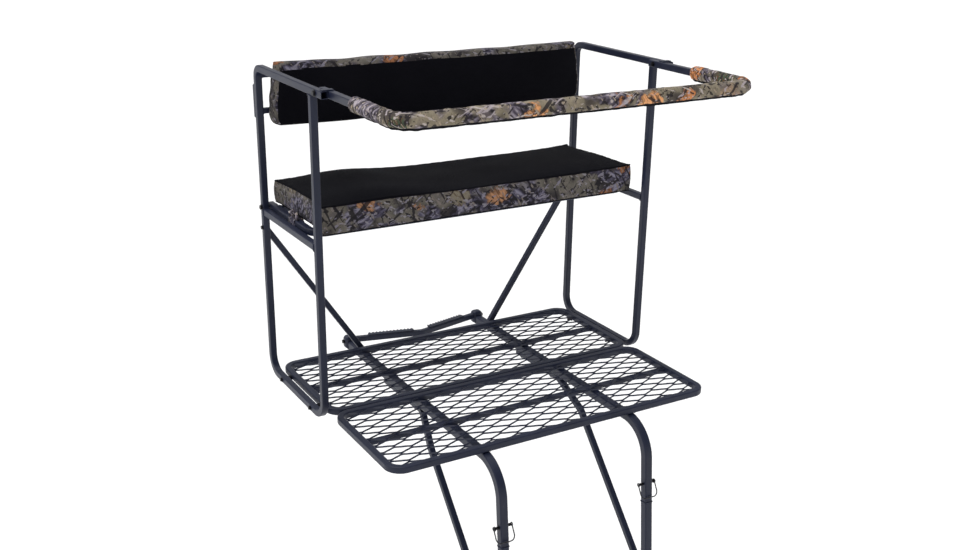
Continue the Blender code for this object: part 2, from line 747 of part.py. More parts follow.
core = T / 2 + 0.0006
spath = fillet([(-X_RAIL, Y_SLEEVE, Z_ARM), (-X_RAIL, Y_RAIL_FRONT, Z_ARM),
                (X_RAIL, Y_RAIL_FRONT, Z_ARM), (X_RAIL, Y_SLEEVE, Z_ARM)],
               R_RAIL, seg=7)
slv = sweep("shooting_rail_pad", spath, SLEEVE_D, round_section=True, res=4,
            colour=(0.10, 0.09, 0.07), rough=0.95, metal=0.0)
corep = sweep("cut_sleeve", upath, core * 2, corner=0.0030, twist='Z_UP',
              cutter=True)
boolean(slv, corep)
set_origin(slv, (0, Y_RAIL_PIVOT, Z_ARM))
adopt(slv, rail_axis)
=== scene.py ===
import math

import bmesh
import bpy
from mathutils import Matrix, Vector, noise


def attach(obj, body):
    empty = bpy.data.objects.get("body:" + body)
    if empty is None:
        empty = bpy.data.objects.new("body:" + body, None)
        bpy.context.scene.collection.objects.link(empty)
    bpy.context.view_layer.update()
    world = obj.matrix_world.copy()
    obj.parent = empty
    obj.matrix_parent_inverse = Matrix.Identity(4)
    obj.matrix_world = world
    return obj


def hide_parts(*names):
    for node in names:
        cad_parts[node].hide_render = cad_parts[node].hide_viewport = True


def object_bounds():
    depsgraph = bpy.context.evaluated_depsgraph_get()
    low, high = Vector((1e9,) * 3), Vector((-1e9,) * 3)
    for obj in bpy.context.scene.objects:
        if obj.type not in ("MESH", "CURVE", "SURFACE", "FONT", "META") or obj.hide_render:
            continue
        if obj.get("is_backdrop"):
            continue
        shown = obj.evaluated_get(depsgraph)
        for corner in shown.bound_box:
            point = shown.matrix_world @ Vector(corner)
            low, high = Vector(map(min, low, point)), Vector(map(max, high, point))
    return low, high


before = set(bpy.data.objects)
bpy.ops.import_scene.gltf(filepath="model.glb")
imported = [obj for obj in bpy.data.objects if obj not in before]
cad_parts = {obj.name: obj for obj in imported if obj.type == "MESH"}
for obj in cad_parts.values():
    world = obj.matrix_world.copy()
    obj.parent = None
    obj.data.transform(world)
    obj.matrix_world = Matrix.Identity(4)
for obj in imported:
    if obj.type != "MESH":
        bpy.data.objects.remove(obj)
CAD_LO, CAD_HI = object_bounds()
scene = bpy.context.scene
scene.view_settings.view_transform = 'Standard'

# ------------------------------------------------------------------ camera
yaw, pitch, roll = (math.radians(a) for a in (-30.9185, -21.0561, 0.9421))
fwd = Vector((math.sin(-yaw) * math.cos(pitch),
              math.cos(yaw) * math.cos(pitch), math.sin(pitch)))
right = Vector((math.cos(yaw), math.sin(yaw), 0))
up = right.cross(fwd)
cam_x = right * math.cos(roll) + up * math.sin(roll)
cam_y = -right * math.sin(roll) + up * math.cos(roll)
cam = bpy.data.objects.new("camera", bpy.data.cameras.new("camera"))
scene.collection.objects.link(cam)
m = Matrix((cam_x, cam_y, -fwd)).transposed().to_4x4()
m.translation = (-1.687, -3.267, 1.495)
cam.matrix_world = m
cam.data.sensor_width = 36.0
cam.data.lens = 42.37
cam.data.shift_y = 0.0358
cam.data.clip_end = 400.0
scene.camera = cam

# ------------------------------------------------------------------ dimensions
T = 0.020
X_FRAME = 0.557
Y_REAR = -0.0624
Y_FRONT = -0.4727
Y_ARM_END = -0.553
Z_BOTTOM = 0.005
Z_ARM = 0.9488
Z_SEAT_RAIL = 0.520
X_SEAT = 0.5335
Z_SEAT = 0.533
Y_SEAT_FRONT = -0.385
SEAT_BAR_Y = -0.104
X_RAIL = 0.5355
Y_RAIL_PIVOT = -0.510
Y_RAIL_FRONT = -0.930
Y_SLEEVE = -0.690
HALF_W = 0.5365
Z_TOP = 0.0195
PANELS = (("rear", -0.4700, -0.0669), ("front", -0.8662, -0.4730))
BOLT_Y = (-0.158, -0.384)
TL = 0.0254
X_LADDER = 0.2472
Z_RAIL = -0.0135
LEAN = math.radians(5.7)
JOINT = (-0.960, -0.243)
SECTION = 1.18
LOW_LENGTH = 1.20
TB = 0.018
SIDES = (("left", -1), ("right", 1))
X, Y, Z = Vector((1, 0, 0)), Vector((0, 1, 0)), Vector((0, 0, 1))


# ------------------------------------------------------------------ materials
def new_material(name):
    mt = bpy.data.materials.new(name)
    mt.use_nodes = True
    return mt, mt.node_tree, mt.node_tree.nodes["Principled BSDF"]


def node(nt, kind, props=None, **inputs):
    n = nt.nodes.new("ShaderNode" + kind)
    for k, v in (props or {}).items():
        setattr(n, k, v)
    for k, v in inputs.items():
        k = int(k[1:]) if k[0] == "i" and k[1:].isdigit() else k.replace("_", " ")
        sock = n.inputs[k]
        if isinstance(v, bpy.types.NodeSocket):
            nt.links.new(v, sock)
        else:
            sock.default_value = v
    return n


def place(nt, scale=(1, 1, 1), rot=(0, 0, 0)):
    tc = node(nt, "TexCoord")
    mp = node(nt, "Mapping", Vector=tc.outputs["Object"], Scale=scale,
              Rotation=rot)
    return mp.outputs["Vector"]


def mix(nt, f, a, b, mode='MIX'):
    n = node(nt, "Mix", {"data_type": 'RGBA', "blend_type": mode},
             i0=f, i6=a, i7=b)
    return n.outputs[2]


def math_node(nt, op, a, b=0.0, c=None):
    kw = {"i0": a, "i1": b}
    if c is not None:
        kw["i2"] = c
    n = node(nt, "Math", {"operation": op, "use_clamp": op == 'MULTIPLY_ADD'},
             **kw)
    return n.outputs[0]


def ramp(nt, fac, stops, mode='LINEAR'):
    n = node(nt, "ValToRGB", Fac=fac)
    cr = n.color_ramp
    cr.interpolation = mode
    while len(cr.elements) < len(stops):
        cr.elements.new(0.5)
    for e, (p, c) in zip(cr.elements, stops):
        e.position = p
        e.color = (*c, 1.0) if len(c) == 3 else c
    return n.outputs["Color"]


def span(nt, v, a, b, lo=0.0, hi=1.0):
    return node(nt, "MapRange", Value=v, From_Min=a, From_Max=b, To_Min=lo,
                To_Max=hi).outputs[0]


def powder_coat():
    mt, nt, b = new_material("powder_coat")
    co = place(nt)
    broad = node(nt, "TexNoise", Vector=co, Scale=7.0, Detail=5.0).outputs[0]
    colour = ramp(nt, broad, [(0.30, (0.0085, 0.0115, 0.0280)),
                              (0.70, (0.0140, 0.0185, 0.0420))])
    dust = node(nt, "TexNoise", Vector=co, Scale=260.0, Detail=2.0).outputs[0]
    speck = span(nt, dust, 0.66, 0.74)
    colour = mix(nt, math_node(nt, 'MULTIPLY', speck, 0.35), colour,
                 (0.045, 0.048, 0.060, 1))
    nt.links.new(colour, b.inputs["Base Color"])
    rough = span(nt, broad, 0.3, 0.7, 0.36, 0.46)
    nt.links.new(rough, b.inputs["Roughness"])
    peel = node(nt, "TexNoise", Vector=co, Scale=900.0, Detail=3.0,
                Roughness=0.6).outputs[0]
    bump = node(nt, "Bump", Strength=0.22, Distance=0.0006, Height=peel)
    nt.links.new(bump.outputs[0], b.inputs["Normal"])
    b.inputs["Metallic"].default_value = 0.0
    b.inputs["Specular IOR Level"].default_value = 0.28
    b.inputs["Coat Weight"].default_value = 0.02
    b.inputs["Coat Roughness"].default_value = 0.25
    return mt


def plated(name, dark, light, rough, metal=1.0, scale=300.0):
    mt, nt, b = new_material(name)
    co = place(nt)
    n1 = node(nt, "TexNoise", Vector=co, Scale=90.0, Detail=4.0).outputs[0]
    nt.links.new(ramp(nt, n1, [(0.3, dark), (0.7, light)]),
                 b.inputs["Base Color"])
    nt.links.new(span(nt, n1, 0.3, 0.7, rough - 0.06, rough + 0.08),
                 b.inputs["Roughness"])
    n2 = node(nt, "TexNoise", Vector=co, Scale=scale, Detail=3.0).outputs[0]
    bump = node(nt, "Bump", Strength=0.15, Distance=0.0004, Height=n2)
    nt.links.new(bump.outputs[0], b.inputs["Normal"])
    b.inputs["Metallic"].default_value = metal
    return mt


def weave_height(nt, co, pitch):
    """Plain weave: crossed threads along the three axes."""
    waves = [node(nt, "TexWave", {"bands_direction": d}, Vector=co,
                  Scale=0.5 / pitch / 3.1416 * 2.0, Distortion=0.6, Detail=1.0,
                  Detail_Scale=0.4).outputs["Fac"] for d in "XYZ"]
    a = math_node(nt, 'MULTIPLY', waves[0], waves[1])
    c = math_node(nt, 'MULTIPLY', waves[1], waves[2])
    d = math_node(nt, 'MULTIPLY', waves[0], waves[2])
    return math_node(nt, 'ADD', math_node(nt, 'ADD', a, c), d)


def black_fabric():
    mt, nt, b = new_material("black_weave")
    co = place(nt)
    broad = node(nt, "TexNoise", Vector=co, Scale=6.0, Detail=4.0).outputs[0]
    fine = node(nt, "TexNoise", Vector=co, Scale=420.0, Detail=2.0).outputs[0]
    colour = ramp(nt, broad, [(0.3, (0.0018, 0.0018, 0.0034)),
                              (0.7, (0.0034, 0.0034, 0.0056))])
    colour = mix(nt, span(nt, fine, 0.45, 0.75, 0.0, 0.5), colour,
                 (0.0080, 0.0080, 0.0112, 1))
    nt.links.new(colour, b.inputs["Base Color"])
    nt.links.new(span(nt, fine, 0.3, 0.7, 0.78, 0.95), b.inputs["Roughness"])
    w = weave_height(nt, co, 0.0016)
    h = math_node(nt, 'ADD', w, math_node(nt, 'MULTIPLY', fine, 0.6))
    bump = node(nt, "Bump", Strength=0.35, Distance=0.0006, Height=h)
    nt.links.new(bump.outputs[0], b.inputs["Normal"])
    b.inputs["Specular IOR Level"].default_value = 0.06
    b.inputs["Sheen Weight"].default_value = 0.005
    b.inputs["Sheen Roughness"].default_value = 0.5
    return mt


def streaks(nt, co, rot, length, width, seed, detail=1.5):
    """Noise drawn out along one direction, like twigs or bark furrows."""
    v = node(nt, "Mapping", {"vector_type": 'TEXTURE'}, Vector=co,
             Location=(seed * 0.37, seed * 0.61, seed * 0.23), Rotation=rot,
             Scale=(length, width, width)).outputs["Vector"]
    return node(nt, "TexNoise", Vector=v, Scale=1.0, Detail=detail,
                Roughness=0.5).outputs[0]


def camouflage(name, painted_light_gain):
    """Generic bark, twig and leaf print on a woven cloth; the last argument scales the
    whole colour as painted light or painted shade.
    """
    mt, nt, b = new_material(name)
    flat = place(nt)
    warp = node(nt, "TexNoise", Vector=flat, Scale=11.0, Detail=2.0)
    co = node(nt, "VectorMath", {"operation": 'MULTIPLY_ADD'},
              i0=warp.outputs["Color"], i1=(0.014, 0.014, 0.014),
              i2=flat).outputs[0]
    ground = node(nt, "TexNoise", Vector=co, Scale=13.0, Detail=2.5,
                  Roughness=0.50).outputs[0]
    colour = ramp(nt, ground, [(0.32, (0.030, 0.026, 0.024)),
                               (0.43, (0.070, 0.064, 0.052)),
                               (0.50, (0.150, 0.140, 0.100)),
                               (0.60, (0.200, 0.185, 0.135)),
                               (0.72, (0.085, 0.076, 0.082))])
    # lilac-grey bark with drawn-out furrows, in two directions
    for scale, lo, rot, seed in ((8.0, 0.555, (0.10, 0.55, 0.30), 1.0),
                                 (9.5, 0.580, (0.25, -0.42, -0.35), 5.0)):
        zone = node(nt, "TexNoise", {"noise_dimensions": '4D'}, Vector=co,
                    W=seed, Scale=scale, Detail=2.0,
                    Distortion=0.5).outputs[0]
        fur = streaks(nt, co, rot, 0.130, 0.0125, seed, 1.5)
        bark = ramp(nt, fur, [(0.38, (0.014, 0.012, 0.018)),
                              (0.47, (0.062, 0.056, 0.078)),
                              (0.56, (0.125, 0.118, 0.152)),
                              (0.66, (0.310, 0.300, 0.340))])
        colour = mix(nt, span(nt, zone, lo, lo + 0.05), colour, bark)
    # leaves: a share of the cells, ragged at the rim and lighter inside
    rag = node(nt, "TexNoise", Vector=flat, Scale=60.0, Detail=2.0).outputs[0]
    lv = node(nt, "Mapping", Vector=co, Scale=(0.85, 1.0, 1.30),
              Rotation=(0.4, 0.2, 0.7)).outputs["Vector"]
    cell = node(nt, "TexVoronoi", {"feature": 'F1'}, Vector=lv, Scale=12.5,
                Randomness=1.0)
    pick = node(nt, "SeparateColor", Color=cell.outputs["Color"])
    dist = math_node(nt, 'ADD', cell.outputs["Distance"],
                     math_node(nt, 'MULTIPLY', rag, 0.50))
    inside = span(nt, dist, 0.74, 0.68)
    chosen = span(nt, pick.outputs[0], 0.72, 0.73)
    leafc = ramp(nt, pick.outputs[1], [(0.0, (0.450, 0.190, 0.070)),
                                       (0.34, (0.580, 0.300, 0.130)),
                                       (0.62, (0.270, 0.240, 0.150)),
                                       (0.78, (0.042, 0.062, 0.038)),
                                       (0.88, (0.260, 0.105, 0.045))],
                 'CONSTANT')
    vein = streaks(nt, co, (0.3, 0.9, 0.2), 0.090, 0.0085, 9.0, 1.5)
    leafc = mix(nt, span(nt, vein, 0.50, 0.62, 0.0, 0.75), leafc,
                (0.090, 0.045, 0.022, 1))
    leafc = mix(nt, span(nt, dist, 0.60, 0.72, 0.0, 0.55), leafc,
                (0.060, 0.035, 0.020, 1))
    colour = mix(nt, math_node(nt, 'MULTIPLY', inside, chosen), colour, leafc)
    # twigs and grass crossing at several angles, dark shadows beside pale ones
    for rot, length, width, lo, shade, seed in (
            ((0.15, 0.30, 0.60), 0.260, 0.0125, 0.600, (0.010, 0.009, 0.011), 2.0),
            ((0.20, -0.75, 0.25), 0.220, 0.0115, 0.610, (0.014, 0.012, 0.014), 3.0),
            ((0.40, 1.10, -0.30), 0.180, 0.0105, 0.620, (0.012, 0.010, 0.012), 4.0),
            ((0.30, 0.20, -0.50), 0.280, 0.0090, 0.635, (0.360, 0.345, 0.330), 6.0),
            ((0.10, -0.35, 0.45), 0.260, 0.0095, 0.640, (0.300, 0.285, 0.310), 7.0),
            ((0.35, 0.85, 0.50), 0.200, 0.0085, 0.645, (0.270, 0.235, 0.180), 8.0)):
        line = span(nt, streaks(nt, co, rot, length, width, seed), lo, lo + 0.035)
        colour = mix(nt, math_node(nt, 'MULTIPLY', line, 0.90), colour,
                     (*shade, 1))
    fine = node(nt, "TexNoise", Vector=flat, Scale=380.0, Detail=2.0).outputs[0]
    colour = mix(nt, span(nt, fine, 0.35, 0.75, 0.0, 0.35), colour,
                 (0.028, 0.025, 0.029, 1))
    # the whole print times a gain: a lighter copy with painted light, a darker, bluer copy
    # with painted shade
    colour = mix(nt, 1.0, colour, (painted_light_gain[0], painted_light_gain[1], painted_light_gain[2], 1), 'MULTIPLY')
    nt.links.new(colour, b.inputs["Base Color"])
    nt.links.new(span(nt, fine, 0.3, 0.7, 0.72, 0.92), b.inputs["Roughness"])
    w = weave_height(nt, flat, 0.0014)
    h = math_node(nt, 'ADD', w, math_node(nt, 'MULTIPLY', fine, 0.5))
    bump = node(nt, "Bump", Strength=0.30, Distance=0.0005, Height=h)
    nt.links.new(bump.outputs[0], b.inputs["Normal"])
    b.inputs["Specular IOR Level"].default_value = 0.2
    b.inputs["Sheen Weight"].default_value = 0.03
    b.inputs["Sheen Roughness"].default_value = 0.4
    return mt


def rubber():
    mt, nt, b = new_material("moulded_rubber")
    co = place(nt)
    n1 = node(nt, "TexNoise", Vector=co, Scale=120.0, Detail=4.0).outputs[0]
    nt.links.new(ramp(nt, n1, [(0.3, (0.012, 0.012, 0.013)),
                               (0.7, (0.024, 0.024, 0.025))]),
                 b.inputs["Base Color"])
    nt.links.new(span(nt, n1, 0.3, 0.7, 0.6, 0.8), b.inputs["Roughness"])
    bump = node(nt, "Bump", Strength=0.3, Distance=0.0005, Height=n1)
    nt.links.new(bump.outputs[0], b.inputs["Normal"])
    return mt


STEEL = powder_coat()
BOLT = plated("black_zinc", (0.008, 0.008, 0.010), (0.022, 0.022, 0.026), 0.40,
              metal=0.85)
WIRE = plated("dark_wire", (0.030, 0.030, 0.034), (0.075, 0.075, 0.082), 0.34,
              metal=0.9)
BLACK = black_fabric()
# one print in two copies: darker and bluer with painted shade for the seat, backrest and
# strap bands, lighter with painted light for the sleeve and strap knots
CAMO_PAINTED_SHADE = camouflage("camo_print_painted_shade", (0.76, 0.74, 0.86))
CAMO_PAINTED_LIGHT = camouflage("camo_print_painted_light", (1.50, 1.38, 1.34))
RUBBER = rubber()


# ------------------------------------------------------------------ builders
def piece(name, bm, mats, body="stand", nodes=(), angle=38.0, flat_faces=True):
    bmesh.ops.recalc_face_normals(bm, faces=bm.faces)
    me = bpy.data.meshes.new(name)
    bm.to_mesh(me)
    bm.free()
    mats = mats if isinstance(mats, (list, tuple)) else [mats]
    for mt in mats:
        me.materials.append(mt)
    me.shade_smooth()
    me.set_sharp_from_angle(angle=math.radians(angle))
    ob = bpy.data.objects.new(name, me)
    scene.collection.objects.link(ob)
    if flat_faces:
        w = ob.modifiers.new("WeightedNormal", 'WEIGHTED_NORMAL')
        w.keep_sharp = True
    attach(ob, body)
    if nodes:
        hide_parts(*nodes)
    return ob


def rrect(w, h, r, n=4):
    """Rounded rectangle as (u, v) points, anticlockwise."""
    out = []
    for cx, cy, a0 in ((w / 2 - r, h / 2 - r, 0), (-w / 2 + r, h / 2 - r, 90),
                       (-w / 2 + r, -h / 2 + r, 180),
                       (w / 2 - r, -h / 2 + r, 270)):
        for i in range(n + 1):
            a = math.radians(a0 + 90 * i / n)
            out.append((cx + r * math.cos(a), cy + r * math.sin(a)))
    return out


def circle(r, n=16):
    return [(r * math.cos(2 * math.pi * i / n), r * math.sin(2 * math.pi * i / n))
            for i in range(n)]


def fillet(points, radius, seg=12, cyclic=False):
    pts = [Vector(p) for p in points]
    n = len(pts)
    out = []
    for i, p in enumerate(pts):
        r = radius[i] if isinstance(radius, (list, tuple)) else radius
        if (not cyclic and i in (0, n - 1)) or r <= 0:
            out.append(p)
            continue
        a = (pts[i - 1] - p).normalized()
        b = (pts[(i + 1) % n] - p).normalized()
        ang = a.angle(b)
        if ang > math.pi - 1e-4:
            out.append(p)
            continue
        t = r / math.tan(ang / 2)
        centre = p + (a + b).normalized() * (r / math.sin(ang / 2))
        u = (p + a * t - centre).normalized()
        w = (p + b * t - centre).normalized()
        tot, axis = u.angle(w), u.cross(w).normalized()
        for k in range(seg + 1):
            out.append(centre + (Matrix.Rotation(tot * k / seg, 3, axis) @ u) * r)
    return out


def resample(pts, step, cyclic=False):
    """Same line with extra points, so that no stretch is longer than step."""
    out = []
    n = len(pts)
    for i in range(n if cyclic else n - 1):
        a, b = pts[i], pts[(i + 1) % n]
        k = max(1, int(math.ceil((b - a).length / step)))
        out += [a.lerp(b, j / k) for j in range(k)]
    if not cyclic:
        out.append(pts[-1])
    return out


def stations(pts, normal, cyclic=False):
    """(point, side, normal, tangent, bend 0..1) along a line in a plane."""
    out, n = [], len(pts)
    for i, p in enumerate(pts):
        a = pts[i - 1] if (i > 0 or cyclic) else p
        b = pts[(i + 1) % n] if (i < n - 1 or cyclic) else p
        t = (b - a).normalized()
        side = t.cross(normal).normalized()
        nn = side.cross(t).normalized()
        bend = 0.0
        if (p - a).length > 1e-6 and (b - p).length > 1e-6:
            bend = (p - a).normalized().angle((b - p).normalized())
        k = 1.0 / math.cos(bend / 2)
        out.append((p, side, nn, t, bend, k))
    return out


def skin(bm, rings, cyclic=False, caps=True):
    n = len(rings[0])
    pairs = list(zip(rings, rings[1:]))
    if cyclic:
        pairs.append((rings[-1], rings[0]))
    faces = []
    for a, b in pairs:
        for i in range(n):
            j = (i + 1) % n
            faces.append(bm.faces.new((a[i], a[j], b[j], b[i])))
    if caps and not cyclic:
        bm.faces.new(rings[0][::-1])
        bm.faces.new(rings[-1])
    return faces


def add_tube(bm, pts, sec, normal, cyclic=False, hollow=(0, 0), wall=0.0016,
             dent=0.0, dent_side=1):
    """Square or round tube along a line. hollow: depth of the open ends.
    dent: how far a bend's outer wall is drawn in."""
    st = stations(pts, normal, cyclic)
    wide = max(u for u, v in sec)
    tall = max(v for u, v in sec)
    inner = [(u * (wide - wall) / wide, v * (tall - wall) / tall)
             for u, v in sec]

    def ring(s, shape, shift=0.0, d=0.0):
        p, side, nn, t, bend, k = s
        out = []
        for u, v in shape:
            if d and u * dent_side > 0:
                f = max(0.0, 1 - (v / (tall * 0.72)) ** 2)
                u -= dent_side * d * f * (abs(u) / wide) ** 2
            out.append(bm.verts.new(p + t * shift + side * u * k + nn * v))
        return out

    rings = []
    if hollow[0]:
        rings.append(ring(st[0], inner, hollow[0]))
        rings.append(ring(st[0], inner))
    smooth_bend = [s[4] for s in st]
    peak = max(smooth_bend + [1e-9])
    for i, s in enumerate(st):
        d = 0.0
        if dent:
            lo, hi = max(0, i - 2), min(len(st), i + 3)
            d = dent * sum(smooth_bend[lo:hi]) / (hi - lo) / peak
        rings.append(ring(s, sec, 0.0, d))
    if hollow[1]:
        rings.append(ring(st[-1], inner))
        rings.append(ring(st[-1], inner, -hollow[1]))
    skin(bm, rings, cyclic)


def tube(name, pts, sec, normal, mat=None, body="stand", nodes=(), **kw):
    bm = bmesh.new()
    add_tube(bm, pts, sec, normal, **kw)
    return piece(name, bm, mat or STEEL, body, nodes)


def add_box(bm, centre, size, axes=(X, Y, Z), r=0.0015, seg=3):
    """Box with rounded edges, in the given axes."""
    made = bmesh.ops.create_cube(bm, size=1.0)
    vs = made["verts"]
    for v in vs:
        v.co = Vector((v.co.x * size[0], v.co.y * size[1], v.co.z * size[2]))
    es = list({e for v in vs for e in v.link_edges})
    if r > 0:
        res = bmesh.ops.bevel(bm, geom=es, offset=r, segments=seg, profile=0.5,
                              affect='EDGES')
        fs = set(res["faces"])
        vs = list({v for f in fs for v in f.verts})
    m = Matrix(axes).transposed()
    for v in vs:
        v.co = Vector(centre) + m @ v.co


def turned(bm, profile, at, axis, n=24, hex_from=None):
    """Closed turned form on any axis: profile is (along, radius) pairs."""
    axis = Vector(axis).normalized()
    a = axis.orthogonal().normalized()
    b = axis.cross(a)
    rings = []
    for s, r in profile:
        rings.append([bm.verts.new(Vector(at) + axis * s + (
            a * math.cos(2 * math.pi * i / n) + b * math.sin(2 * math.pi * i / n))
            * max(r, 1e-5)) for i in range(n)])
    skin(bm, rings)


def hexagon(bm, at, axis, flats, h, dome=True):
    """Hex head or nut with a chamfered face."""
    axis = Vector(axis).normalized()
    a = axis.orthogonal().normalized()
    b = axis.cross(a)
    rc = flats / math.sqrt(3)
    rings = []
    steps = ((0.0, 0.94), (0.12, 1.0), (0.72, 1.0), (0.92, 0.93), (1.0, 0.80))
    for z, k in steps:
        rings.append([])
        for i in range(24):
            q = 2 * math.pi * i / 24
            hexr = flats / 2 / math.cos((q % (math.pi / 3)) - math.pi / 6)
            r = min(hexr, rc * 0.985 if k == 1.0 else flats / 2 * 1.02 * k / 0.94)
            if k != 1.0:
                r = min(hexr, rc * k)
            rings[-1].append(bm.verts.new(
                Vector(at) + axis * (z * h)
                + (a * math.cos(q) + b * math.sin(q)) * r))
    skin(bm, rings)


def washer(bm, at, axis, r, t, hole=0.0045):
    turned(bm, [(0, r - 0.0003), (t * 0.3, r), (t * 0.7, r), (t, r - 0.0003)],
           at, axis, n=28)


def bolt(bm, at, axis, flats=0.0110, h=0.0045, wr=0.0078):
    """Hex head on its washer, seated at a point, facing along axis."""
    ax = Vector(axis).normalized()
    washer(bm, at, ax, wr, 0.0012)
    hexagon(bm, Vector(at) + ax * 0.0012, ax, flats, h)


def nut(bm, at, axis, flats=0.0110, h=0.0050, end=0.0030, wr=0.0078, r=0.0030):
    ax = Vector(axis).normalized()
    washer(bm, at, ax, wr, 0.0012)
    hexagon(bm, Vector(at) + ax * 0.0012, ax, flats, h)
    top = 0.0012 + h
    prof = [(0.001, r)]
    s = top
    while s < top + end - 0.0008:
        prof += [(s, r), (s + 0.0005, r - 0.00035)]
        s += 0.0010
    prof += [(top + end - 0.0004, r - 0.0001), (top + end, r - 0.0006)]
    turned(bm, prof, at, ax, n=16)


def bead(bm, at, normal, side, w, h, r=0.0020, corner=0.003, seed=0.0,
         round_r=None):
    """Weld bead round a tube at a joint, in the plane across normal."""
    n = Vector(normal).normalized()
    a = Vector(side).normalized()
    b = n.cross(a)
    if round_r:
        base = [(u, v) for u, v in circle(round_r + r * 0.25, 40)]
    else:
        base = rrect(w + r * 0.5, h + r * 0.5, corner + r * 0.25, 4)
    line = resample([Vector((u, v, 0)) for u, v in base], 0.0022, cyclic=True)
    rings, cnt = [], len(line)
    for i, p in enumerate(line):
        q = Vector(at) + a * p.x + b * p.y
        t = line[(i + 1) % cnt] - line[i - 1]
        t = (a * t.x + b * t.y).normalized()
        out = t.cross(n).normalized()
        rr = r * (0.92 + 0.16 * math.sin(i * 2.1 + seed)
                  + 0.12 * noise.noise(Vector((i * 0.31, seed, 0))))
        rings.append([bm.verts.new(q + (out * math.cos(c) + n * math.sin(c)) * rr)
                      for c in (k * math.pi / 3 for k in range(6))])
    skin(bm, rings, cyclic=True)


def line_bead(bm, a, b, r=0.0020, seed=0.0):
    """Straight weld bead between two points."""
    a, b = Vector(a), Vector(b)
    t = (b - a).normalized()
    u = t.orthogonal().normalized()
    v = t.cross(u)
    k = max(4, int((b - a).length / 0.0022))
    rings = []
    for i in range(k + 1):
        f = i / k
        rr = r * (0.9 + 0.18 * math.sin(i * 2.1 + seed))
        rr *= min(1.0, 0.35 + 6 * min(f, 1 - f))
        rings.append([bm.verts.new(a.lerp(b, f) + (u * math.cos(c)
                      + v * math.sin(c)) * rr)
                      for c in (q * math.pi / 3 for q in range(6))])
    skin(bm, rings)


def lad(y, z, x=0.0):
    """Point given in the ladder's own leaning frame."""
    c, s = math.cos(LEAN), math.sin(LEAN)
    return Vector((x, JOINT[0] + y * c + z * s, JOINT[1] - y * s + z * c))


LAD_Y = (lad(1, 0) - lad(0, 0)).normalized()
LAD_Z = (lad(0, 1) - lad(0, 0)).normalized()

# ------------------------------------------------------------------ side frames
SEC = rrect(T, T, 0.0030)
welds = bmesh.new()
for side, s in SIDES:
    x = s * X_FRAME
    bm = bmesh.new()
    arm = fillet([(x, Y_ARM_END, Z_ARM), (x, Y_REAR, Z_ARM),
                  (x, Y_REAR, Z_BOTTOM), (x, Y_FRONT, Z_BOTTOM),
                  (x, Y_FRONT, Z_ARM - T / 2 - 0.0002)],
                 [0, 0.030, 0.055, 0.055, 0], seg=14)
    add_tube(bm, arm, SEC, X, hollow=(0.045, 0), dent=0.0016, dent_side=1)
    piece("side_tube_" + side, bm, STEEL, nodes=["side_frame_" + side])
    bead(welds, (x, Y_FRONT, Z_ARM - T / 2 - 0.0010), Z, X, T, T, seed=1 + s)

    bm = bmesh.new()
    y0, y1 = Y_FRONT + T / 2 + 0.0002, Y_REAR - T / 2 - 0.0002
    add_tube(bm, [Vector((x, y0, Z_SEAT_RAIL)), Vector((x, y1, Z_SEAT_RAIL))],
             SEC, X)
    add_box(bm, (s * 0.5382, -0.328, Z_SEAT - T / 2 - 0.0023),
            (0.0236, 0.028, 0.0038), r=0.0009)
    piece("seat_rail_tube_" + side, bm, STEEL, nodes=["seat_rail_" + side])
    for y in (y0 + 0.0006, y1 - 0.0006):
        bead(welds, (x, y, Z_SEAT_RAIL), Y, X, T, T, seed=y * 9)

# ------------------------------------------------------------------ platform
SW, LW = 0.0460, 0.0850      # pitch of the diamonds, short and long way
HALF_STRAND = 0.00230
THICK = 0.0024
LEAN_STRAND = 0.80


def expanded_metal(bm, yr, xi, seed):
    """Raised expanded metal: zigzag strands that lean where they meet."""
    r = 0.030 + 0.004
    x1 = xi + 0.003
    ya, yb = yr[0] - 0.003, yr[1] + 0.003

    def inside(px, py):
        if abs(px) > x1 or not ya < py < yb:
            return False
        dx = abs(px) - (x1 - r)
        dy = max(ya + r - py, py - (yb - r))
        return not (dx > 0 and dy > 0 and dx * dx + dy * dy > r * r)

    zc = 0.0150
    reach = HALF_STRAND * math.cos(LEAN_STRAND) - 0.0001
    lift = HALF_STRAND * math.sin(LEAN_STRAND)
    rows = int((yb - ya) / (SW / 2)) + 3
    step = LW / 2 / 9
    cols = int((2 * x1 + 2 * LW) / step) + 2
    mid = (yr[0] + yr[1]) / 2
    for j in range(-rows, rows + 1):
        base = mid + j * SW / 2
        if base > yb + 0.03 or base < ya - 0.03:
            continue
        run = []

        def flush(run):
            if len(run) < 3:
                return
            rings = []
            for k, (px, py, lean, zo) in enumerate(run):
                a = run[max(0, k - 1)]
                b = run[min(len(run) - 1, k + 1)]
                t = Vector((b[0] - a[0], b[1] - a[1], b[3] - a[3])).normalized()
                side = Z.cross(t).normalized()
                nn = t.cross(side)
                c, sn = math.cos(lean), math.sin(lean)
                wdir = side * c + nn * sn
                ndir = nn * c - side * sn
                o = Vector((px, py, zc + zo))
                h, q = HALF_STRAND, THICK / 2
                e = 0.0004
                rings.append([bm.verts.new(o + wdir * u + ndir * v) for u, v in
                              ((h - e, -q), (h, -q + e), (h, q - e), (h - e, q),
                               (-h + e, q), (-h, q - e), (-h, -q + e),
                               (-h + e, -q))])
            skin(bm, rings)

        for i in range(cols + 1):
            px = -x1 - LW + i * step + (LW / 2 if j % 2 else 0)
            if px > x1 + step:
                break
            ph = ((px + 50 * LW) / LW) % 1.0 + (0.5 if j % 2 else 0.0)
            tri = 1 - abs((ph % 1.0) * 2 - 1)          # 0 at trough, 1 at peak
            flat = min(1.0, max(0.0, (tri - 0.07) / 0.86))
            py = base + reach + (SW / 2 - 2 * reach) * flat
            zo = lift * math.cos(flat * math.pi)
            if inside(px, py):
                run.append((px, py, LEAN_STRAND, zo))
            else:
                flush(run)
                run = []
        flush(run)


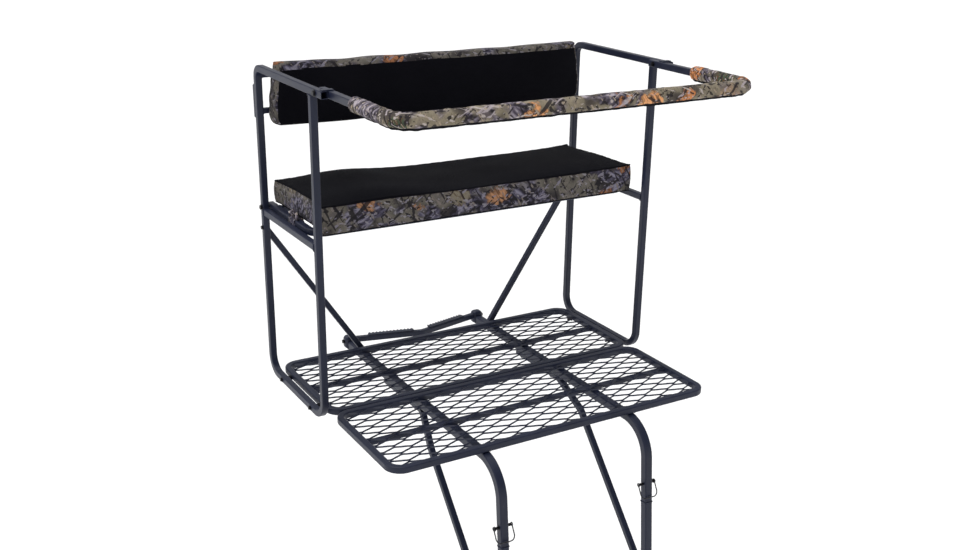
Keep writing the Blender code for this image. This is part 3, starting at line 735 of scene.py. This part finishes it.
for panel, ya, yb in PANELS:
    zc = Z_TOP - T / 2
    a, b = ya + T / 2, yb - T / 2
    w = HALF_W - T / 2
    loop = fillet([(-w, a, zc), (w, a, zc), (w, b, zc), (-w, b, zc)], 0.040,
                  seg=14, cyclic=True)
    tube(f"panel_rim_{panel}", loop, rrect(T, T, 0.0036), Z, cyclic=True,
         nodes=[f"platform_{panel}_frame"])
    mid = (ya + yb) / 2
    xi = HALF_W - T
    tube(f"panel_bar_{panel}", [Vector((-xi, mid, 0.0062)),
                                Vector((xi, mid, 0.0062))],
         rrect(T, 0.012, 0.0024), Z, nodes=[f"platform_{panel}_bar"])
    for s in (-1, 1):
        bead(welds, (s * (xi - 0.0006), mid, 0.0060), X, Y, T, 0.012,
             seed=mid + s)
    bm = bmesh.new()
    expanded_metal(bm, (ya + T, yb - T), xi, 1)
    piece(f"expanded_mesh_{panel}", bm, STEEL, nodes=[f"platform_{panel}_mesh"],
          flat_faces=False)

# ------------------------------------------------------------------ supports
h = TL / 2
SECL = rrect(TL, TL, 0.0042)
YC = JOINT[0] + (Z_RAIL - JOINT[1]) * math.tan(LEAN)
for side, s in SIDES:
    x = s * X_LADDER
    bm = bmesh.new()
    add_tube(bm, [Vector((x, -0.4722, Z_RAIL)), Vector((x, 0.0360, Z_RAIL))],
             SECL, Z, hollow=(0.03, 0))
    add_box(bm, (x, 0.0510, -0.0070), (0.0370, 0.0340, 0.0460), r=0.0125, seg=6)
    piece("support_tube_" + side, bm, STEEL, nodes=["support_rail_" + side])
    bead(welds, (x, 0.0352, Z_RAIL), Y, X, TL, TL, r=0.0022, seed=s)

    end = lad(0, 0.0002, x)
    line = fillet([(x, -0.4725, Z_RAIL), (x, YC, Z_RAIL), end],
                  [0, 0.105, 0], seg=26)
    # the lower end is left open where the next section enters
    bm = bmesh.new()
    add_tube(bm, line, SECL, X, hollow=(0.03, 0.05), dent=0.0036,
             dent_side=1 if True else -1)
    piece("ladder_bend_" + side, bm, STEEL, nodes=["ladder_top_" + side])

    for name, top, length, last in (("mid", 0.0, SECTION, False),
                                    ("low", -SECTION, LOW_LENGTH, True)):
        bm = bmesh.new()
        add_tube(bm, [lad(0, top - 0.0002, x), lad(0, top - length, x)],
                 SECL, X, hollow=(0, 0.05))
        q = rrect(0.0190, 0.0190, 0.0024)
        add_tube(bm, [lad(0, top - 0.02, x), lad(0, top + 0.072, x)], q, X)
        piece(f"ladder_{name}_tube_{side}", bm, STEEL,
              nodes=[f"ladder_{name}_rail_{side}"])
        bead(welds, lad(0, top - 0.0022, x), LAD_Z, X, TL, TL, r=0.0017,
             corner=0.004, seed=top)

# rungs, each with its weld at both rails
for n in range(6):
    z = -0.20 - n * 0.38
    e = X_LADDER - TL / 2
    bm = bmesh.new()
    turned(bm, [(-e, 0.0111), (-e + 0.030, 0.0111), (e - 0.030, 0.0111),
                (e, 0.0111)], lad(0, z), X, n=32)
    for gx in range(-7, 8):            # rolled grip rings
        cx = gx * 0.022
        turned(bm, [(cx - 0.0012, 0.0105), (cx - 0.0006, 0.01145),
                    (cx + 0.0006, 0.01145), (cx + 0.0012, 0.0105)],
               lad(0, z), X, n=32)
    piece(f"rung_tube_{n + 1}", bm, STEEL, nodes=[f"ladder_rung_{n + 1}"])
    for s in (-1, 1):
        bead(welds, lad(0, z, s * (e - 0.0008)), X, LAD_Y, 0, 0, r=0.0020,
             round_r=0.0111, seed=n + s)

# struts and braces
for side, s in SIDES:
    x = s * X_LADDER
    az = Z_RAIL - h - 0.0003 - TB / 2
    xo = s * (X_LADDER + h + 0.0003 + TB / 2 + 0.0005)
    line = fillet([(x, -0.235, az), (x, -0.482, az),
                   (xo, -0.4774 - 0.8917 * 0.115, -0.115),
                   (xo, -0.4774 - 0.8917 * 0.589, -0.589)],
                  [0, 0.040, 0.060, 0], seg=12)
    tube("strut_tube_" + side, line, rrect(TB, TB, 0.0028), X,
         nodes=["strut_" + side], hollow=(0.02, 0.02))
    yb = Y_REAR + T / 2 + 0.0003 + TB / 2
    tube("brace_tube_" + side, [Vector((s * 0.5470, yb, 0.455)),
                                Vector((x, yb, 0.0068))],
         rrect(TB, TB, 0.0028), Y, nodes=["brace_" + side],
         hollow=(0.02, 0.02))

# ------------------------------------------------------------------ bracket
e = X_LADDER - 0.0185 - 0.0027
vslope = (0.0440 + 0.009) / e
tube("bracket_arms", fillet([(-e, 0.0440, 0), (0, -0.009, 0), (e, 0.0440, 0)],
                            [0, 0.020, 0], seg=6),
     rrect(TB, TB, 0.0028), Z, nodes=["tree_bracket"])
for side, s in SIDES:
    ang = s * math.atan(vslope)
    ax = Vector((math.cos(ang), math.sin(ang), 0))
    ay = Vector((-math.sin(ang), math.cos(ang), 0))
    bm = bmesh.new()
    n, tooth, start, depth = 13, 0.0122, 0.030, 0.015
    ring = [(start, -depth / 2), (start + n * tooth, -depth / 2)]
    for i in range(n, 0, -1):
        ring.append((start + i * tooth, depth / 2))
        ring.append((start + (i - 0.55) * tooth, depth / 2 + 0.0095))
    ring.append((start, depth / 2))
    o = Vector((0, -0.007, TB / 2 + 0.0003))
    lo = [bm.verts.new(o + ax * (s * u) + ay * v) for u, v in ring]
    hi = [bm.verts.new(o + ax * (s * u) + ay * v + Z * 0.003) for u, v in ring]
    skin(bm, [lo, hi])
    bmesh.ops.bevel(bm, geom=list(bm.edges), offset=0.0003, segments=1,
                    affect='EDGES')
    piece("bracket_teeth_" + side, bm, STEEL, nodes=["tree_blade_" + side],
          flat_faces=False)

# ------------------------------------------------------------------ seat frame
line = fillet([(-X_SEAT, Y_REAR + 0.015, Z_SEAT), (-X_SEAT, Y_SEAT_FRONT, Z_SEAT),
               (X_SEAT, Y_SEAT_FRONT, Z_SEAT), (X_SEAT, Y_REAR + 0.015, Z_SEAT)],
              0.040, seg=14)
bm = bmesh.new()
add_tube(bm, line, SEC, Z, hollow=(0.02, 0.02), dent=0.0012, dent_side=1)
add_tube(bm, [Vector((-X_SEAT + 0.009, SEAT_BAR_Y, Z_SEAT)),
              Vector((X_SEAT - 0.009, SEAT_BAR_Y, Z_SEAT))],
         rrect(T, T - 0.0024, 0.0028), Z)
for s in (-1, 1):
    bead(bm, (s * (X_SEAT - T / 2 - 0.0006), SEAT_BAR_Y, Z_SEAT), X, Y, T,
         T - 0.0024, seed=s)
piece("seat_tube", bm, STEEL, body="seat", nodes=["seat_frame"])

# ------------------------------------------------------------------ backrest bars
for side, s in SIDES:
    x = s * X_FRAME
    bm = bmesh.new()
    add_box(bm, (x, Y_REAR + T / 2 + 0.0093, 0.848), (0.017, 0.018, 0.100),
            r=0.0060, seg=5)
    piece("back_bracket_" + side, bm, STEEL, nodes=["backrest_bracket_" + side])
for tag, z in (("lower", 0.822), ("upper", 0.926)):
    xi = X_FRAME - T / 2
    tube("back_bar_" + tag, [Vector((-xi, Y_REAR, z)), Vector((xi, Y_REAR, z))],
         rrect(0.016, 0.016, 0.0026), Z, nodes=["backrest_bar_" + tag])
    for s in (-1, 1):
        bead(welds, (s * (xi - 0.0006), Y_REAR, z), X, Y, 0.016, 0.016,
             r=0.0017, seed=z + s)

# ------------------------------------------------------------------ shooting rail
line = fillet([(-X_RAIL, -0.488, Z_ARM), (-X_RAIL, Y_RAIL_FRONT, Z_ARM),
               (X_RAIL, Y_RAIL_FRONT, Z_ARM), (X_RAIL, -0.488, Z_ARM)],
              0.055, seg=16)
bm = bmesh.new()
add_tube(bm, line, SEC, Z, hollow=(0.03, 0.03))
for s in (-1, 1):
    add_box(bm, (s * 0.5455, -0.5415, Z_ARM + T / 2 + 0.0016),
            (0.033, 0.017, 0.0034), r=0.0008)
piece("rail_tube", bm, STEEL, body="shooting_rail", nodes=["shooting_rail"])


# ------------------------------------------------------------------ padded sleeve
def sleeve():
    path = fillet([(-X_RAIL, Y_SLEEVE, Z_ARM), (-X_RAIL, Y_RAIL_FRONT, Z_ARM),
                   (X_RAIL, Y_RAIL_FRONT, Z_ARM), (X_RAIL, Y_SLEEVE, Z_ARM)],
                  0.055, seg=22)
    path = resample(path, 0.0036)
    st = stations(path, Z)
    total, along = 0.0, [0.0]
    for a, b in zip(path, path[1:]):
        total += (b - a).length
        along.append(total)
    bends = [s[4] for s in st]
    n = 48
    bm = bmesh.new()
    rings = []
    for i, (p, sd, nn, t, _, k) in enumerate(st):
        u = along[i]
        edge = min(u, total - u)
        win = bends[max(0, i - 6):i + 7]
        bend = min(1.0, sum(win) / len(win) / 0.055)
        ring = []
        for j in range(n):
            a = 2 * math.pi * j / n
            cx, cy = math.cos(a), math.sin(a)
            q = Vector((cx * 2.2, cy * 2.2, u * 26))
            r = 0.0200 + 0.0012 * noise.noise(q) \
                + 0.0006 * noise.noise(q * 2.7)
            # foam joints: the cover dips a little where two foam lengths meet
            r -= 0.0011 * math.exp(-((u % 0.262) - 0.131) ** 2 / 0.00010)
            # folds gathered on the inner side of each bend
            inner = max(0.0, -cx)
            r += bend * inner * (0.0026 * math.sin(u * 2 * math.pi / 0.0175
                                 + 1.3 * math.sin(a * 2)) - 0.0012)
            r += bend * 0.0012 * math.sin(u * 2 * math.pi / 0.031 + a)
            # gusset fold standing up just past the bend
            for c0 in (0.345, total - 0.345):
                r += 0.0022 * math.exp(-((u - c0) / 0.0065) ** 2) \
                    * max(0.0, 0.4 + 0.6 * cy)
            # seam fin along the underside
            d = (a - 1.5 * math.pi)
            r += 0.0042 * math.exp(-(d / 0.24) ** 2)
            # hem: thin band, stitch groove, rounded lip
            r -= 0.0011 * math.exp(-((edge - 0.016) / 0.0016) ** 2)
            if edge < 0.004:
                r -= 0.0022 * (1 - edge / 0.004) ** 2
            ring.append(bm.verts.new(p + sd * cx * r * k + nn * cy * r))
        rings.append(ring)
    for end, i in ((0, 0), (1, len(st) - 1)):
        p, sd, nn, t, _, k = st[i]
        tt = t if end == 0 else -t
        extra = []
        for rad, dep in ((0.0150, 0.0), (0.0146, 0.006)):
            extra.append([bm.verts.new(
                p + tt * dep + sd * math.cos(2 * math.pi * j / n) * rad
                + nn * math.sin(2 * math.pi * j / n) * rad) for j in range(n)])
        if end == 0:
            rings = extra[::-1] + rings
        else:
            rings = rings + extra
    faces = skin(bm, rings)
    for f in faces:
        c = f.calc_center_median()
        if c.z < Z_ARM - 0.0158:
            f.material_index = 1
    # the sleeve takes the print copy with painted light
    ob = piece("rail_sleeve", bm, [CAMO_PAINTED_LIGHT, BLACK], body="shooting_rail",
               nodes=["shooting_rail_pad"], angle=60, flat_faces=False)
    return ob


sleeve()


# ------------------------------------------------------------------ pads
def ease(u):
    """Lattice spacing: closer towards the edges."""
    return 0.55 * u + 0.45 * (1.5 * u - 0.5 * u ** 3)


def lattice(bm, nx, ny, nz, place_point):
    idx, tagged = {}, []

    def vert(i, j, k):
        key = (i, j, k)
        if key not in idx:
            u, v, w = (ease(i / nx * 2 - 1), ease(j / ny * 2 - 1),
                       ease(k / nz * 2 - 1))
            idx[key] = bm.verts.new(place_point(u, v, w))
        return idx[key]

    for i in range(nx):
        for j in range(ny):
            for k, tag in ((0, "bottom"), (nz, "top")):
                tagged.append((bm.faces.new([vert(i, j, k), vert(i + 1, j, k),
                               vert(i + 1, j + 1, k), vert(i, j + 1, k)]), tag))
    for i in range(nx):
        for k in range(nz):
            for j, tag in ((0, "front"), (ny, "rear")):
                tagged.append((bm.faces.new([vert(i, j, k), vert(i + 1, j, k),
                               vert(i + 1, j, k + 1), vert(i, j, k + 1)]), tag))
    for j in range(ny):
        for k in range(nz):
            for i, tag in ((0, "left"), (nx, "right")):
                tagged.append((bm.faces.new([vert(i, j, k), vert(i, j + 1, k),
                               vert(i, j + 1, k + 1), vert(i, j, k + 1)]), tag))
    return tagged


def rounded(p, half, r):
    q = Vector([max(-(h - r), min(h - r, c)) for c, h in zip(p, half)])
    d = p - q
    return q + d.normalized() * r if d.length > 1e-7 else p


SEAT_HALF = Vector((0.5215, 0.1790, 0.0352))
SEAT_MID = Vector((0, -0.2505, 0.5815))


def seat_point(u, v, w):
    """u along the bench, v towards the tree, w up, each -1..1."""
    h = SEAT_HALF
    p = rounded(Vector((u * h.x, v * h.y, w * h.z)), h, 0.0058)
    au, av = abs(u), abs(v)
    core = (1 - au ** 8) * (1 - av ** 6)
    if w > 0:
        f = w
        crown = 0.0046 * core + 0.0040 * max(0.0, (u - 0.6) / 0.4)
        # one soft hump in front of each sitter, a shallow valley between
        left = math.exp(-((u + 0.66) / 0.30) ** 2)
        crown += 0.0135 * left * (1 - av ** 4)
        crown += 0.0040 * left
        # the rear edge sits a little lower than the front one
        rear = min(1.0, max(0.0, (v + 0.3) / 1.3))
        crown -= 0.0085 * rear * rear * (3 - 2 * rear) * (1 - left)
        crown += 0.0055 * math.exp(-((u - 0.52) / 0.30) ** 2) * (1 - av ** 4)
        crown -= 0.0035 * math.exp(-(u / 0.16) ** 2) * (1 - av ** 4)
        crown += 0.0022 * noise.noise(Vector((p.x * 7, p.y * 9, 1.3))) * core
        # shallow puckers running in from the seam
        d = min(h.x - abs(p.x), h.y - abs(p.y))
        run = p.x if (h.y - abs(p.y)) < (h.x - abs(p.x)) else p.y
        crown += 0.0004 * math.exp(-max(d, 0) / 0.020) * math.sin(
            run * 150 + 3 * noise.noise(Vector((run * 11, v, 2.0))))
        p.z += crown * f
    # corners: the cover pulls down and out into small ears
    ear = (au ** 18) * (av ** 18)
    p.z += 0.0030 * ear * max(0.0, w)
    p.x += 0.0055 * ear * (1 if u > 0 else -1)
    # sides: bulge between the seams, drawn in between the corners
    mid = max(0.0, 1 - w * w)
    if av > 0.999 or abs(p.y) > h.y - 0.004:
        p.y += (0.0045 * mid - 0.0038 * (1 - au ** 4)) * (1 if v > 0 else -1)
        p.y += 0.0016 * noise.noise(Vector((p.x * 17, p.z * 22, v)))
    if au > 0.999 or abs(p.x) > h.x - 0.004:
        p.x += (0.0024 * mid - 0.0014 * (1 - av ** 4)) * (1 if u > 0 else -1)
        p.x += 0.0018 * noise.noise(Vector((p.y * 19, p.z * 24, u)))
    if w < 0:
        p.z += -w * 0.0012 * noise.noise(Vector((p.x * 12, p.y * 12, 5)))
        p.z = max(p.z, -h.z - 0.0003)
    # the cover hangs down in front of the frame
    hang = min(1.0, max(0.0, (-0.3990 - SEAT_MID.y - p.y) / 0.0030))
    p.z -= 0.0098 * hang * (1 - w) / 2
    return SEAT_MID + p


def seam_cord(name, points, r, mat, body, cyclic=True):
    bm = bmesh.new()
    rings, n = [], len(points)
    for i, p in enumerate(points):
        a, b = points[i - 1], points[(i + 1) % n]
        t = (b - a).normalized()
        sd = t.cross(Z if abs(t.z) < 0.9 else Y).normalized()
        nn = sd.cross(t)
        rr = r * (1 + 0.10 * math.sin(i * 2.4))
        rings.append([bm.verts.new(p + (sd * math.cos(c) + nn * math.sin(c)) * rr)
                      for c in (k * math.pi / 4 for k in range(8))])
    skin(bm, rings, cyclic)
    return piece(name, bm, mat, body, flat_faces=False, angle=70)


def seat_edge(w, n=150, m=56):
    pts = []
    for i in range(n):
        pts.append(seat_point(ease(-1 + 2 * i / n), -1, w))
    for i in range(m):
        pts.append(seat_point(1, ease(-1 + 2 * i / m), w))
    for i in range(n):
        pts.append(seat_point(ease(1 - 2 * i / n), 1, w))
    for i in range(m):
        pts.append(seat_point(-1, ease(1 - 2 * i / m), w))
    out = []
    for p in pts:
        if not out or (p - out[-1]).length > 0.0015:
            out.append(p)
    return out


bm = bmesh.new()
for f, tag in lattice(bm, 190, 76, 18, seat_point):
    f.material_index = 0 if tag in ("top", "bottom") else 1
cushion = piece("seat_pad", bm, [BLACK, CAMO_PAINTED_SHADE], body="seat",
                nodes=["seat_cushion"], flat_faces=False, angle=60)
seam_cord("seat_pad_piping_top", seat_edge(1.0), 0.0024, BLACK, "seat")
seam_cord("seat_pad_piping_bottom", seat_edge(-1.0), 0.0022, BLACK, "seat")

PAD_HALF = Vector((0.5240, 0.0262, 0.0885))
PAD_MID = Vector((0, -0.0979, 0.8700))


def pad_point(u, v, w):
    """u along the backrest, v towards the tree, w up."""
    h = PAD_HALF
    p = rounded(Vector((u * h.x, v * h.y, w * h.z)), h, 0.0100)
    au, av, aw = abs(u), abs(v), abs(w)
    if v < 0:
        p.y -= -v * 0.0060 * (1 - au ** 4) * (1 - aw ** 2)
        p.y -= -v * 0.0022 * noise.noise(Vector((p.x * 6, p.z * 9, 3))) \
            * (1 - au ** 6)
    else:
        p.y += v * 0.0018 * noise.noise(Vector((p.x * 9, p.z * 13, 8)))
    if w > 0:
        # the top sags a little between the ends and ripples
        p.z += w * (0.0035 * math.exp(-((u + 0.90) / 0.10) ** 2)
                    + 0.0035 * math.exp(-((u - 0.90) / 0.12) ** 2)
                    + 0.0020 * noise.noise(Vector((p.x * 9, 4, p.y * 14)))
                    + 0.0012 * math.sin(p.x * 34 + 2))
        p.z += w * 0.0030 * (1 - av ** 2)
    else:
        p.z += -w * 0.0014 * noise.noise(Vector((p.x * 8, 6, p.y * 10)))
        p.z += -w * 0.0075 * au ** 10
    if au > 0.999 or abs(p.x) > h.x - 0.004:
        p.x += (0.0040 * (1 - aw ** 2) - 0.0005) * (1 if u > 0 else -1)
        # gathered folds at the ends
        p.x += 0.0011 * math.sin(p.z * 120 + 2.6 * math.sin(p.y * 60)) \
            * (1 if u > 0 else -1) * (1 - aw ** 4)
    # the ends belly out towards the bottom, where the cover is gathered
    low = (1 - w) / 2
    p.x += (0.0115 * low * (1 - max(0.0, -w) ** 6) - 0.0100 * (1 - low) ** 2
            - 0.0080 * max(0.0, -v)) * au ** 24 * (1 if u > 0 else -1)
    ear = (au ** 16) * (aw ** 16)
    p.x += 0.0040 * ear * (1 if u > 0 else -1)
    p.z += (-0.0030 if w < 0 else 0.0015) * ear
    return PAD_MID + p


bm = bmesh.new()
for f, tag in lattice(bm, 190, 16, 44, pad_point):
    z = f.calc_center_median().z
    front = tag == "front" and z < PAD_MID.z + PAD_HALF.z - 0.0135
    f.material_index = 0 if front or tag == "bottom" else 1
back = piece("back_pad", bm, [BLACK, CAMO_PAINTED_SHADE], nodes=["backrest_pad"],
             flat_faces=False, angle=60)

# ------------------------------------------------------------------ seat straps
for side, s in SIDES:
    bm = bmesh.new()
    a, t = T / 2 + 0.0003, 0.0014
    ring_o = rrect(2 * (a + t), 2 * (a + t), 0.0040)
    ring_i = rrect(2 * a, 2 * a, 0.0030)
    x0 = s * X_SEAT

    def band(y, shape, k=1.0):
        return [bm.verts.new((x0 + u * k, y, Z_SEAT + v * k)) for u, v in shape]

    steps = 9
    outer = [band(-0.270 + 0.046 * i / steps, ring_o,
                  1 + 0.012 * math.sin(i * 1.9)) for i in range(steps + 1)]
    inner = [band(-0.270 + 0.046 * i / steps, ring_i)
             for i in range(steps, -1, -1)]
    skin(bm, outer + inner, cyclic=True)
    piece("strap_band_" + side, bm, CAMO_PAINTED_SHADE, body="seat",
          nodes=["seat_strap_" + side], flat_faces=False)
    # knot and the two free tails on the inner side of the bar
    bm = bmesh.new()
    kx = s * (X_SEAT - T / 2 - 0.0052)
    for i, (dy, dz, w) in enumerate(((0.0, 0.004, 0.015), (0.008, -0.004, 0.012),
                                     (-0.009, -0.006, 0.013))):
        ringc = fillet([(kx, -0.247 + dy - w, Z_SEAT + dz - w * 0.55),
                        (kx, -0.247 + dy + w, Z_SEAT + dz - w * 0.55),
                        (kx - s * 0.002, -0.247 + dy + w, Z_SEAT + dz + w * 0.55),
                        (kx - s * 0.002, -0.247 + dy - w, Z_SEAT + dz + w * 0.55)],
                       w * 0.5, seg=5, cyclic=True)
        add_tube(bm, ringc, rrect(0.0084, 0.0050, 0.0020, 2), X, cyclic=True)
    for k, (dy, fall) in enumerate(((0.014, 0.036), (-0.016, 0.030))):
        pts = [Vector((kx, -0.247 + dy * 0.4, Z_SEAT - 0.001)),
               Vector((kx - s * 0.003, -0.247 + dy, Z_SEAT - 0.010)),
               Vector((kx - s * 0.001, -0.247 + dy * 1.5, Z_SEAT - 0.4 * fall - 0.008)),
               Vector((kx - s * 0.003, -0.247 + dy * 1.7, Z_SEAT - fall)),
               Vector((kx - s * 0.001, -0.247 + dy * 1.9, Z_SEAT - fall - 0.010))]
        add_tube(bm, pts, rrect(0.0020, 0.0180, 0.0006, 2), Y)
    # the bulky hitch on top of the bar, beside the cushion
    tx, tz = s * (X_SEAT + 0.0035), Z_SEAT + T / 2 + 0.0062
    for k, (dy, dz, wy, wz) in enumerate(((0.000, 0.004, 0.021, 0.0080),
                                          (0.012, 0.002, 0.015, 0.0065),
                                          (-0.014, 0.001, 0.016, 0.0062),
                                          (0.002, 0.010, 0.011, 0.0060))):
        loop = [Vector((tx + s * 0.0022 * math.sin(2 * c + k),
                        -0.247 + dy + wy * math.cos(c), tz + dz + wz * math.sin(c)))
                for c in (2 * math.pi * q / 22 for q in range(22))]
        add_tube(bm, loop, rrect(0.0086, 0.0056, 0.0024, 2), X, cyclic=True)
    # the knot on top of the bar takes the print copy with painted light
    piece("strap_knot_" + side, bm, CAMO_PAINTED_LIGHT, body="seat", flat_faces=False)

# ------------------------------------------------------------------ fasteners
for side, s in SIDES:
    for tag, y in zip(("rear", "front"), BOLT_Y):
        bm = bmesh.new()
        xo = X_FRAME + T / 2
        turned(bm, [(-(xo - 0.500), 0.0039), (0.0, 0.0039)],
               (s * xo, y, Z_BOTTOM), (s, 0, 0), n=16)
        bolt(bm, (s * xo, y, Z_BOTTOM), (s, 0, 0))
        turned(bm, [(0, 0.0070), (0.0004, 0.0075),
                    (X_FRAME - T / 2 - HALF_W - 0.0004, 0.0075),
                    (X_FRAME - T / 2 - HALF_W, 0.0070)],
               (s * HALF_W, y, Z_BOTTOM), (s, 0, 0), n=24)
        nut(bm, (s * (HALF_W - T), y, Z_BOTTOM), (-s, 0, 0))
        piece(f"panel_bolt_{side}_{tag}", bm, BOLT,
              nodes=[f"platform_bolt_{side}_{tag}"])
    for nm, y, z, xb in (("seat_pivot_", Y_REAR, Z_SEAT, X_SEAT),
                         ("rail_pivot_", Y_RAIL_PIVOT, Z_ARM, X_RAIL)):
        bm = bmesh.new()
        xo = X_FRAME + T / 2
        turned(bm, [(-(xo - xb + T / 2 + 0.004), 0.0039), (0.0, 0.0039)],
               (s * xo, y, z), (s, 0, 0), n=16)
        bolt(bm, (s * xo, y, z), (s, 0, 0), flats=0.0135, wr=0.0098)
        nut(bm, (s * (xb - T / 2), y, z), (-s, 0, 0), end=0.0015, h=0.0042)
        piece(f"{nm}bolt_{side}", bm, BOLT, nodes=[nm + side])

    # smaller bolts: brace, bracket, strut and backrest bracket
    bm = bmesh.new()
    bolt(bm, (s * (X_FRAME + T / 2), Y_REAR, 0.470), (s, 0, 0))
    for z in (0.820, 0.878):
        bolt(bm, (s * X_FRAME, Y_REAR + T / 2 + 0.0183, z), (0, 1, 0),
             flats=0.0090, h=0.0036, wr=0.0064)
    x = s * X_LADDER
    for sx in (-1, 1):
        bolt(bm, (x + sx * 0.0185, 0.0520, -0.004), (sx, 0, 0), flats=0.0120,
             h=0.0050)
    for yy in (-0.262, -0.440):
        bolt(bm, (x, yy, Z_RAIL - h - 0.0183), (0, 0, -1), flats=0.0100,
             h=0.0042)
    d = Vector((0, -0.8917, -1)).normalized()
    foot = Vector((s * (X_LADDER + h + 0.0183), -0.4774 - 0.8917 * 0.572, -0.572))
    bolt(bm, foot, (s, 0, 0), flats=0.0100, h=0.0042)
    yb = Y_REAR + T / 2 + 0.0003 + TB
    bolt(bm, (s * 0.2640, yb, 0.030), (0, 1, 0), flats=0.0090, h=0.0036,
         wr=0.0064)
    piece("small_bolts_" + side, bm, BOLT)

    # lock pins and wire bails
    for lev, z in (("upper", 0.056), ("lower", 0.056 - SECTION)):
        c = lad(0, z, x)
        bm = bmesh.new()
        turned(bm, [(-0.0280, 0.0028), (-0.0266, 0.0042), (0.0238, 0.0042),
                    (0.0240, 0.0062), (0.0246, 0.0066), (0.0262, 0.0066),
                    (0.0269, 0.0054), (0.0270, 0.0030)], c, (s, 0, 0), n=24)
        washer(bm, lad(0, z, s * (X_LADDER + h)), (s, 0, 0), 0.0068, 0.0010)
        piece(f"ladder_pin_{lev}_{side}", bm, BOLT,
              nodes=[f"lock_pin_{lev}_{side}"])
        o, i = s * (X_LADDER + 0.0286), s * (X_LADDER - 0.0296)
        pts = []
        for u, yy, zz in ((o, 0.0, 0.0), (o, -0.0180, -0.040),
                          (i, -0.0180, -0.040), (i, 0.0, 0.0)):
            pts.append(lad(yy, z + zz, u))
        wire = fillet(pts, [0, 0.0155, 0.0155, 0], seg=10)
        bm = bmesh.new()
        nrm = (pts[1] - pts[0]).cross(pts[2] - pts[1]).normalized()
        add_tube(bm, wire, circle(0.0018, 10), nrm)
        for q in (0, 3):
            sx = s if q == 0 else -s
            for turn in range(3):
                cx = pts[q] - X * (sx * 0.0004) + X * (sx * 0.0007 * (turn - 1))
                loop = [cx + (LAD_Y * math.cos(2 * math.pi * k / 20)
                              + LAD_Z * math.sin(2 * math.pi * k / 20)) * 0.0046
                        for k in range(20)]
                if turn == 1:
                    add_tube(bm, loop, circle(0.0016, 8), X, cyclic=True)
        piece(f"wire_bail_{lev}_{side}", bm, WIRE, body=f"bail_{lev}_{side}",
              nodes=[f"pin_bail_{lev}_{side}"], flat_faces=False)

# short fillet welds where the panel rims sit on the rails
for side, s in SIDES:
    for dx in (-h, h):
        xx = s * X_LADDER + dx * 1.02
        for y in (-0.0769, -0.4600, -0.4830, -0.8562, -0.2685, -0.6696):
            line_bead(welds, (xx, y - 0.0085, -0.0010), (xx, y + 0.0085, -0.0010),
                      seed=y * 50)
piece("weld_beads", welds, STEEL, flat_faces=False, angle=80)

# feet keep their CAD shape, with a rubber finish
for side, s in SIDES:
    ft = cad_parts["ladder_foot_" + side]
    if ft.material_slots:
        for slot in ft.material_slots:
            slot.material = RUBBER
    else:
        ft.data.materials.append(RUBBER)

# ------------------------------------------------------------------ floor, light
floor_z = CAD_LO.z
bm = bmesh.new()
bmesh.ops.create_grid(bm, x_segments=1, y_segments=1, size=150.0)
me = bpy.data.meshes.new("floor")
bm.to_mesh(me)
bm.free()
floor = bpy.data.objects.new("floor", me)
floor.location = (0, 0, floor_z - 0.0005)
scene.collection.objects.link(floor)
fm, nt, b = new_material("floor_white")
b.inputs["Base Color"].default_value = (0.93, 0.93, 0.93, 1)
b.inputs["Roughness"].default_value = 0.9
b.inputs["Specular IOR Level"].default_value = 0.1
me.materials.append(fm)
floor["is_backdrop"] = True

world = bpy.data.worlds.new("studio")
scene.world = world
world.use_nodes = True
bg = world.node_tree.nodes["Background"]
bg.inputs["Color"].default_value = (1.0, 1.0, 1.0, 1)
wnt = world.node_tree
wco = node(wnt, "TexCoord")
wsep = node(wnt, "SeparateXYZ", Vector=wco.outputs["Generated"])
wnt.links.new(span(wnt, wsep.outputs["Z"], 0.08, 0.34, 1.0, 0.14),
              bg.inputs["Strength"])


def area_light(name, at, target, size, energy, colour=(1, 1, 1)):
    li = bpy.data.lights.new(name, 'AREA')
    li.shape = 'RECTANGLE'
    li.size, li.size_y = size
    li.energy = energy
    li.color = colour
    ob = bpy.data.objects.new(name, li)
    scene.collection.objects.link(ob)
    ob.location = at
    ob.rotation_euler = (Vector(target) - Vector(at)).to_track_quat(
        '-Z', 'Y').to_euler()
    return ob


sun = bpy.data.lights.new("dome", 'SUN')
sun.energy = 3.35
sun.angle = math.radians(80)
ob = bpy.data.objects.new("dome", sun)
scene.collection.objects.link(ob)
ob.rotation_euler = (math.radians(-10), math.radians(-14), 0)
area_light("key", (-3.4, -2.6, 3.6), (0, -0.4, 0.3), (2.4, 2.4), 10)
area_light("back", (2.6, 5.0, 3.4), (0, -0.4, 0.4), (5.0, 2.4), 11)
area_light("side", (4.5, -2.0, 2.4), (0, -0.4, 0.3), (2.5, 3.0), 12)

lo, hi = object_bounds()
